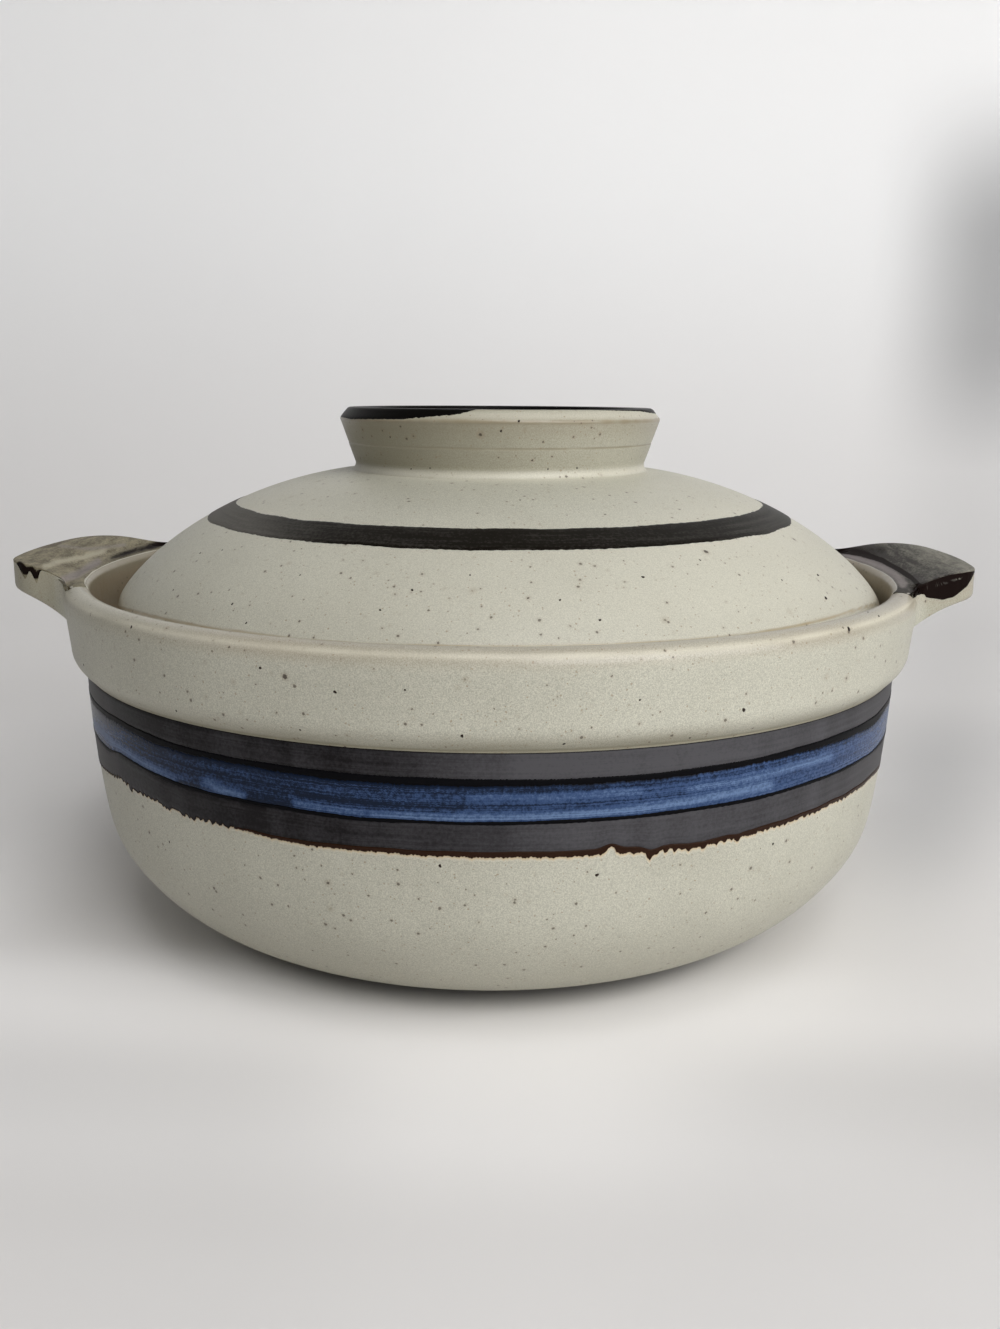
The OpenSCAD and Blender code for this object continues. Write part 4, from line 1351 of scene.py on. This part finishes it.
def stoneware(name):
    """Pale grey-green glaze over iron-bearing clay, with tints from the mesh."""
    made, tree, shader, where = material(name)
    kinds = use(tree, mottle, Where=where)
    warm, dark, pale = read_mark(tree, "tint")
    colour = blend(tree, kinds["Cloud"], (0.452, 0.440, 0.362), (0.507, 0.496, 0.412))
    colour = blend(tree, times(tree, kinds["Blot"], 0.16), colour, (0.58, 0.565, 0.48))
    grain = spread(tree, kinds["Grain"], 0.0, 1.0, (0.77, 1.20))
    grain = add(tree, "CombineColor", in0=grain, in1=grain, in2=grain)
    colour = blend(tree, 1.0, colour, grain, "MULTIPLY")
    warmth = times(tree, warm, spread(tree, kinds["Cloud"], 0.0, 1.0, (0.92, 1.06)))
    colour = blend(tree, times(tree, warmth, 0.85), colour, (0.26, 0.175, 0.10))
    # The dark share is painted shade for the most part: under the collar, on the lower belly, in the
    # gallery, along the lid's joint with the rim and on the knob.
    colour = blend(tree, times(tree, dark, 0.75), colour, (0.25, 0.225, 0.15))
    # The pale share is a painted highlight on the rim's shoulder and the knob's fillet and a painted sheen
    # on the lid, besides pale glaze on the knob's bevel, the lower lid and the fringe's halo.
    cream = blend(tree, warm, (0.64, 0.61, 0.51), (0.70, 0.55, 0.32))
    colour = blend(tree, times(tree, pale, 0.7), colour, cream)
    tiny = use(tree, specks, Where=where, Scale=900.0, Size=0.30, Rare=0.5)
    fine = use(tree, specks, Where=where, Scale=430.0, Size=0.20, Rare=0.47)
    coarse = use(tree, specks, Where=where, Scale=150.0, Size=0.088, Rare=0.66)
    halo = sums(tree, "MAXIMUM", times(tree, fine["Halo"], 0.2), times(tree, coarse["Halo"], 0.3))
    halo = sums(tree, "MAXIMUM", halo, times(tree, tiny["Core"], 0.55))
    core = sums(tree, "MAXIMUM", times(tree, fine["Core"], 0.72), times(tree, coarse["Core"], 0.9))
    colour = blend(tree, halo, colour, (0.26, 0.185, 0.11))
    colour = blend(tree, core, colour, (0.045, 0.03, 0.022))
    rough = spread(tree, kinds["Blot"], 0.0, 1.0, (0.40, 0.48))
    rough = sums(tree, "SUBTRACT", rough, times(tree, core, 0.1))
    height = sums(tree, "ADD", times(tree, kinds["Grain"], 0.5), times(tree, kinds["Blot"], 0.3))
    height = times(tree, height, spread(tree, warm, 0.1, 0.35, (1.0, 0.2)))
    finished(tree, shader, colour, rough, 0.4, height, 0.12)
    plug(tree, shader.inputs["Coat Weight"], spread(tree, warm, 0.1, 0.35, (0.0, 0.6)))
    shader.inputs["Coat Roughness"].default_value = 0.16
    return made


clay_glaze = stoneware("pale_glaze")
for piece in (bowl, lid, knob, lug_right, lug_left, fringe_halo):
    piece.data.materials.append(clay_glaze)


# %% [markdown]
# The dark glazes share one recipe. A value from streaks along the turn, soft patches and a grain goes
# from a low to a high colour. The painted shares push that value down or up, where the maker's brush left
# more or less glaze, and where a sheen is painted on.

# %% The dark glazes
def band_value(tree, where, along, across, grain_share):
    """Streaks along the turn with patches and a grain, from zero to one."""
    turn = add(tree, "Attribute", out=1, settings={"attribute_name": "turn"})
    streak = noise(tree, stretched(tree, turn, (along, along, across)), 26.0, 6.0, 0.62)
    for_patch = stretched(tree, turn, (1.8 * along, 1.8 * along, 0.4 * across))
    patch = noise(tree, for_patch, 60.0, 4.0, 0.6, 0.4)
    grain = noise(tree, where, 1150.0, 3.0, 0.75)
    rest = (1 - grain_share) / 2
    total = sums(tree, "ADD", times(tree, streak, rest), times(tree, patch, rest))
    return sums(tree, "ADD", total, times(tree, grain, grain_share)), turn


def dark_glaze(name, low, high, rough, specular=0.3, top_line=None):
    """Iron glaze. The first painted share says how thin it is and where a sheen is painted; top_line is
    the share of the width that is black."""
    made, tree, shader, where = material(name)
    value, turn = band_value(tree, where, 0.35, 0.4, 0.42)
    thin_and_sheen = read_mark(tree, "paint")[0]
    value = spread(tree, value, 0.36, 0.64, (-0.2, 0.2))
    # The first painted share lightens the glaze where it is thin and where a sheen is painted.
    value = sums(tree, "ADD", value, thin_and_sheen, clamp=True)
    colour = blend(tree, value, low, high)
    if top_line:
        line_at = spread(tree, place_of(tree, turn)[2], 1 - top_line, 1 - 0.6 * top_line)
        colour = blend(tree, line_at, colour, (0.008, 0.007, 0.007))
    finished(tree, shader, colour, spread(tree, value, 0.0, 1.0, rough), specular, value, 0.2)
    return made


def cobalt_glaze(name):
    """Cobalt blue: dark navy, mid blue and pale crystals, by the painted shares and the streaks, with a
    painted sheen that grows towards the right.
    """
    made, tree, shader, where = material(name)
    value, turn = band_value(tree, where, 0.3, 1.1, 0.4)
    pale, dark, _ = read_mark(tree, "paint")
    value = spread(tree, value, 0.34, 0.66, (-0.34, 0.34))
    lit = sums(tree, "ADD", value, times(tree, pale, 0.62))
    lit = sums(tree, "SUBTRACT", lit, times(tree, dark, 0.32))
    lit = sums(tree, "SUBTRACT", lit, spread(tree, place_of(tree, turn)[2], 0.72, 1.0, (0.0, 0.45)))
    # Painted sheen: the blue gets lighter towards the right side of the pot.
    side = place_of(tree, where)[0]
    lit = sums(tree, "ADD", lit, spread(tree, side, -70 * MM, 100 * MM, (0.20, 0.44)))
    colour = blend(tree, spread(tree, lit, 0.0, 0.5), (0.007, 0.013, 0.03), (0.036, 0.068, 0.158))
    colour = blend(tree, spread(tree, lit, 0.45, 1.1), colour, (0.13, 0.20, 0.34))
    finished(tree, shader, colour, spread(tree, lit, 0.0, 1.0, (0.22, 0.36)), 0.1, value, 0.2)
    return made


LINE_SHARE = 0.1
IRON_LOW, IRON_HIGH = (0.008, 0.0065, 0.0075), (0.076, 0.074, 0.080)
BRUSHED_LOW, BRUSHED_HIGH = (0.006, 0.0045, 0.0025), (0.13, 0.122, 0.108)
KNOB_LOW, KNOB_HIGH = (0.004, 0.0035, 0.003), (0.012, 0.0105, 0.009)
for piece, finish in (
    (upper_iron, dark_glaze("iron_under_collar", IRON_LOW, IRON_HIGH, (0.4, 0.5), 0.12, LINE_SHARE)),
    (low_iron, dark_glaze("iron_low", IRON_LOW, IRON_HIGH, (0.4, 0.5), 0.12)),
    (upper_line, dark_glaze("black_line", (0.003, 0.003, 0.004), (0.010, 0.009, 0.010), (0.4, 0.5), 0.04)),
    (cobalt, cobalt_glaze("cobalt_blue")),
    (lid_band, dark_glaze("lid_iron", BRUSHED_LOW, BRUSHED_HIGH, (0.42, 0.56), 0.07)),
    (knob_coat, dark_glaze("knob_black", KNOB_LOW, KNOB_HIGH, (0.35, 0.45), 0.05)),
    (rust_fringe, dark_glaze("rust", (0.022, 0.008, 0.003), (0.055, 0.024, 0.009), (0.4, 0.5), 0.1)),
):
    piece.data.materials.append(finish)
low_line.data.materials.append(upper_line.data.materials[0])


speck, tree, shader, where = material("iron_speck")
shader.inputs["Base Color"].default_value = (0.028, 0.018, 0.013, 1)
shader.inputs["Roughness"].default_value = 0.4
shader.inputs["Specular IOR Level"].default_value = 0.15
for piece in (bowl_spots, lid_spots, knob_spots):
    piece.data.materials.append(speck)


LUG_BLACK, LUG_VIOLET, LUG_BEIGE = (0.007, 0.003, 0.002), (0.25, 0.220, 0.213), (0.42, 0.385, 0.29)


def lug_glaze(name, low, high, tip):
    """Iron glaze on a lug, brushed from a low to a high colour, which wins by tip at the tip. The dark,
    violet and pale paint lies over it, with edges that the brush marks break up."""
    made, tree, shader, where = material(name)
    brushed = noise(tree, stretched(tree, where, (2.2, 0.5, 1.5)), 130.0, 5.0, 0.65, 0.5)
    grain = noise(tree, where, 1500.0, 3.0, 0.6)
    rough_edge = sums(tree, "ADD", times(tree, brushed, 0.6), times(tree, grain, 0.4))
    outward = sums(tree, "ABSOLUTE", place_of(tree, where)[0])
    outward = spread(tree, outward, 129 * MM, 143 * MM, (-tip, tip))
    value = sums(tree, "ADD", spread(tree, rough_edge, 0.36, 0.66), outward, clamp=True)
    colour = blend(tree, value, low, high)
    coats = []
    for share, full in zip(read_mark(tree, "paint"), (0.65, 1.1, 1.1)):
        broken = times(tree, sums(tree, "SUBTRACT", rough_edge, 0.5), 1.6)
        coats.append(spread(tree, sums(tree, "ADD", share, broken), 0.25, full))
    dark, violet, pale = coats
    colour = blend(tree, times(tree, pale, 0.8), colour, LUG_BEIGE)
    colour = blend(tree, times(tree, violet, 0.8), colour, LUG_VIOLET)
    colour = blend(tree, dark, colour, LUG_BLACK)
    rough = spread(tree, dark, 0.0, 1.0, (0.5, 0.62))
    finished(tree, shader, colour, rough, 0.06, rough_edge, 0.35, 0.0003)
    return made


charcoal = lug_glaze("lug_charcoal", (0.040, 0.035, 0.031), (0.255, 0.243, 0.20), 0.42)
olive = lug_glaze("lug_olive", (0.10, 0.083, 0.055), (0.33, 0.295, 0.20), 0.0)
lug_coats["right"].data.materials.append(charcoal)
lug_coats["left"].data.materials.append(olive)
print("glazes:", len(bpy.data.materials))

# %% [markdown]
# The pot stands on a white sweep: one sheet that runs from the floor up into the wall with a wide bend,
# so that no edge shows behind the pot. Its section is two straight runs and a quarter circle, carried
# along the width.

# %% The sweep of paper
SWEEP_W, FLOOR_FRONT, FLOOR_BACK, BEND_R, WALL_TOP = 4.0, -1.6, 0.45, 0.45, 2.4
quarter = np.linspace(0, np.pi / 2, 40)
bend_y, bend_z = FLOOR_BACK + BEND_R * np.sin(quarter[1:]), BEND_R * (1 - np.cos(quarter[1:]))
sweep_y = np.r_[FLOOR_FRONT, np.linspace(-0.6, FLOOR_BACK, 30), bend_y, FLOOR_BACK + BEND_R]
sweep_z = np.r_[0, np.zeros(30), bend_z, WALL_TOP]
across = np.linspace(-SWEEP_W / 2, SWEEP_W / 2, 9)
sheet = np.stack(np.broadcast_arrays(across[None, :], sweep_y[:, None], sweep_z[:, None]), -1)
index = np.arange(sheet.shape[0] * sheet.shape[1]).reshape(sheet.shape[:2])
backdrop = smooth_object("backdrop", sheet.reshape(-1, 3), quads_of(index).tolist())
print("backdrop:", index.size, "points")

# %% [markdown]
# In the picture the paper isn't evenly lit. A fold of shade stands at the right behind the pot, the pot's
# own shadow is deep right at its foot, and the floor is brighter in front and at the left. These are
# painted on the paper by its own coordinates: column is the way across the picture, and reach the
# distance from the pot's axis. Places on the paper are in metres. The shades are part of its colour. The
# glow is seen by the camera alone, so that it throws no light on the pot.

# %% The paper
paper, tree, shader, where = material("paper")
place_x, place_y, height = place_of(tree, where)
SHADE_AT, BRIGHT_AT = 0.335, 0.03
ahead_of_eye = sums(tree, "MAXIMUM", sums(tree, "SUBTRACT", place_y, float(eye[1])), 0.05)
column = sums(tree, "DIVIDE", place_x, ahead_of_eye)
reach = sums(tree, "ADD", times(tree, place_x, place_x), times(tree, place_y, place_y))
reach = sums(tree, "POWER", reach, 0.5)


def far_from(middle):
    """Distance across the picture from a column."""
    return sums(tree, "ABSOLUTE", sums(tree, "SUBTRACT", column, middle))


colour = blend(tree, spread(tree, height, 0.0, 0.35), (0.82, 0.80, 0.785), (0.84, 0.835, 0.83))
behind = spread(tree, place_y, 0.14, 0.28, (1.0, 0.35))
fold = times(
    tree, spread(tree, far_from(SHADE_AT), 0.0, 0.10, (0.40, 0.0)), spread(tree, place_y, -0.12, 0.1),
    sums(tree, "MAXIMUM", behind, spread(tree, height, 0.02, 0.20, (0.0, 1.15))),
    spread(tree, height, 0.28, 0.46, (1.0, 0.0)),
)
colour = blend(tree, fold, colour, (0.30, 0.31, 0.32))
colour = blend(tree, spread(tree, reach, 0.074, 0.094, (0.85, 0.0)), colour, (0.02, 0.018, 0.015))
dim = times(
    tree, spread(tree, far_from(BRIGHT_AT), 0.04, 0.24, (0.0, 0.16)),
    spread(tree, place_y, -0.13, -0.09, (1.0, 0.0)), spread(tree, place_y, -0.20, -0.13, (0.2, 1.0)),
)
colour = blend(tree, dim, colour, (0.02, 0.02, 0.02))
plug(tree, shader.inputs["Base Color"], colour)

wall_glow = times(
    tree, sums(tree, "ADD", spread(tree, height, 0.0, 0.40, (0.0, 0.13)),
               spread(tree, place_y, 0.12, 0.45, (0.0, 0.08))),
    spread(tree, place_x, -0.35, 0.1, (0.75, 1.0)), sums(tree, "SUBTRACT", 1.0, times(tree, fold, 2.9)),
)
front_glow = times(
    tree, spread(tree, place_y, -0.19, -0.15, (0.0, 0.085)), spread(tree, reach, 0.085, 0.10),
    spread(tree, place_y, -0.08, -0.05, (1.0, 0.0)), spread(tree, place_x, 0.05, 0.14, (1.0, 0.1)),
)
left_glow = times(
    tree, spread(tree, place_x, -0.17, -0.12, (0.08, 0.0)), spread(tree, place_y, -0.08, -0.02),
    spread(tree, place_y, 0.10, 0.28, (1.0, 0.1)),
)
glow = sums(tree, "ADD", wall_glow, sums(tree, "ADD", front_glow, left_glow))
seen_straight = tree.nodes.new("ShaderNodeLightPath").outputs["Is Camera Ray"]
shader.inputs["Emission Color"].default_value = (1, 1, 1, 1)
plug(tree, shader.inputs["Emission Strength"], times(tree, glow, seen_straight))
shader.inputs["Roughness"].default_value = 0.8
shader.inputs["Specular IOR Level"].default_value = 0.2
backdrop.data.materials.append(paper)

# %% [markdown]
# The pot is lit softly, mostly from the right and from above. Big square area lamps give that light, and
# each lamp's power and place were chosen so that every side of the pot comes out as bright as in the
# picture. The camera sees a pale sky past the paper's edge, while the pot is lit by a dim one.

# %% Lamps and sky
def lamp(name, place, aim, width, power):
    """A square area lamp that looks from its place to the aim."""
    data = bpy.data.lights.new(name, "AREA")
    data.size, data.energy = width, power
    made = bpy.data.objects.new(name, data)
    back_way = np.array(place) - np.array(aim)
    back_way = back_way / np.linalg.norm(back_way)
    right = np.cross((0, 0, 1), back_way)
    right /= np.linalg.norm(right)
    up = np.cross(back_way, right)
    made.matrix_world = matrix_of(right, up, back_way, place)
    bpy.context.scene.collection.objects.link(made)


POT_MIDDLE = (0, 0, 0.07)
LAMP_OUT = 1.7
LAMP_W = 1.0
# Each lamp has its degrees round from the camera's side, its degrees up and its power
LAMPS = {
    "front_right": (30, 30, 12),
    "far_right": (60, 25, 10),
    "above": (20, 60, 9.5),
    "left": (-80, 30, 1.8),
}
for name, (round_deg, up_deg, power) in LAMPS.items():
    out, up = np.radians([round_deg, up_deg])
    place = LAMP_OUT * np.array([np.cos(up) * np.sin(out), -np.cos(up) * np.cos(out), np.sin(up)])
    lamp(name, place, POT_MIDDLE, LAMP_W, power)
print("lamps:", ", ".join(LAMPS))

world = bpy.data.worlds.new("room")
bpy.context.scene.world = world
world.use_nodes = True
tree = world.node_tree
seen_straight = tree.nodes.new("ShaderNodeLightPath").outputs["Is Camera Ray"]
sky = blend(tree, seen_straight, (0.035, 0.036, 0.038), (0.66, 0.665, 0.675))
plug(tree, tree.nodes["Background"].inputs["Color"], sky)
bpy.context.scene.view_settings.view_transform = "Standard"

# %% Last update of the scene
bpy.context.view_layer.update()
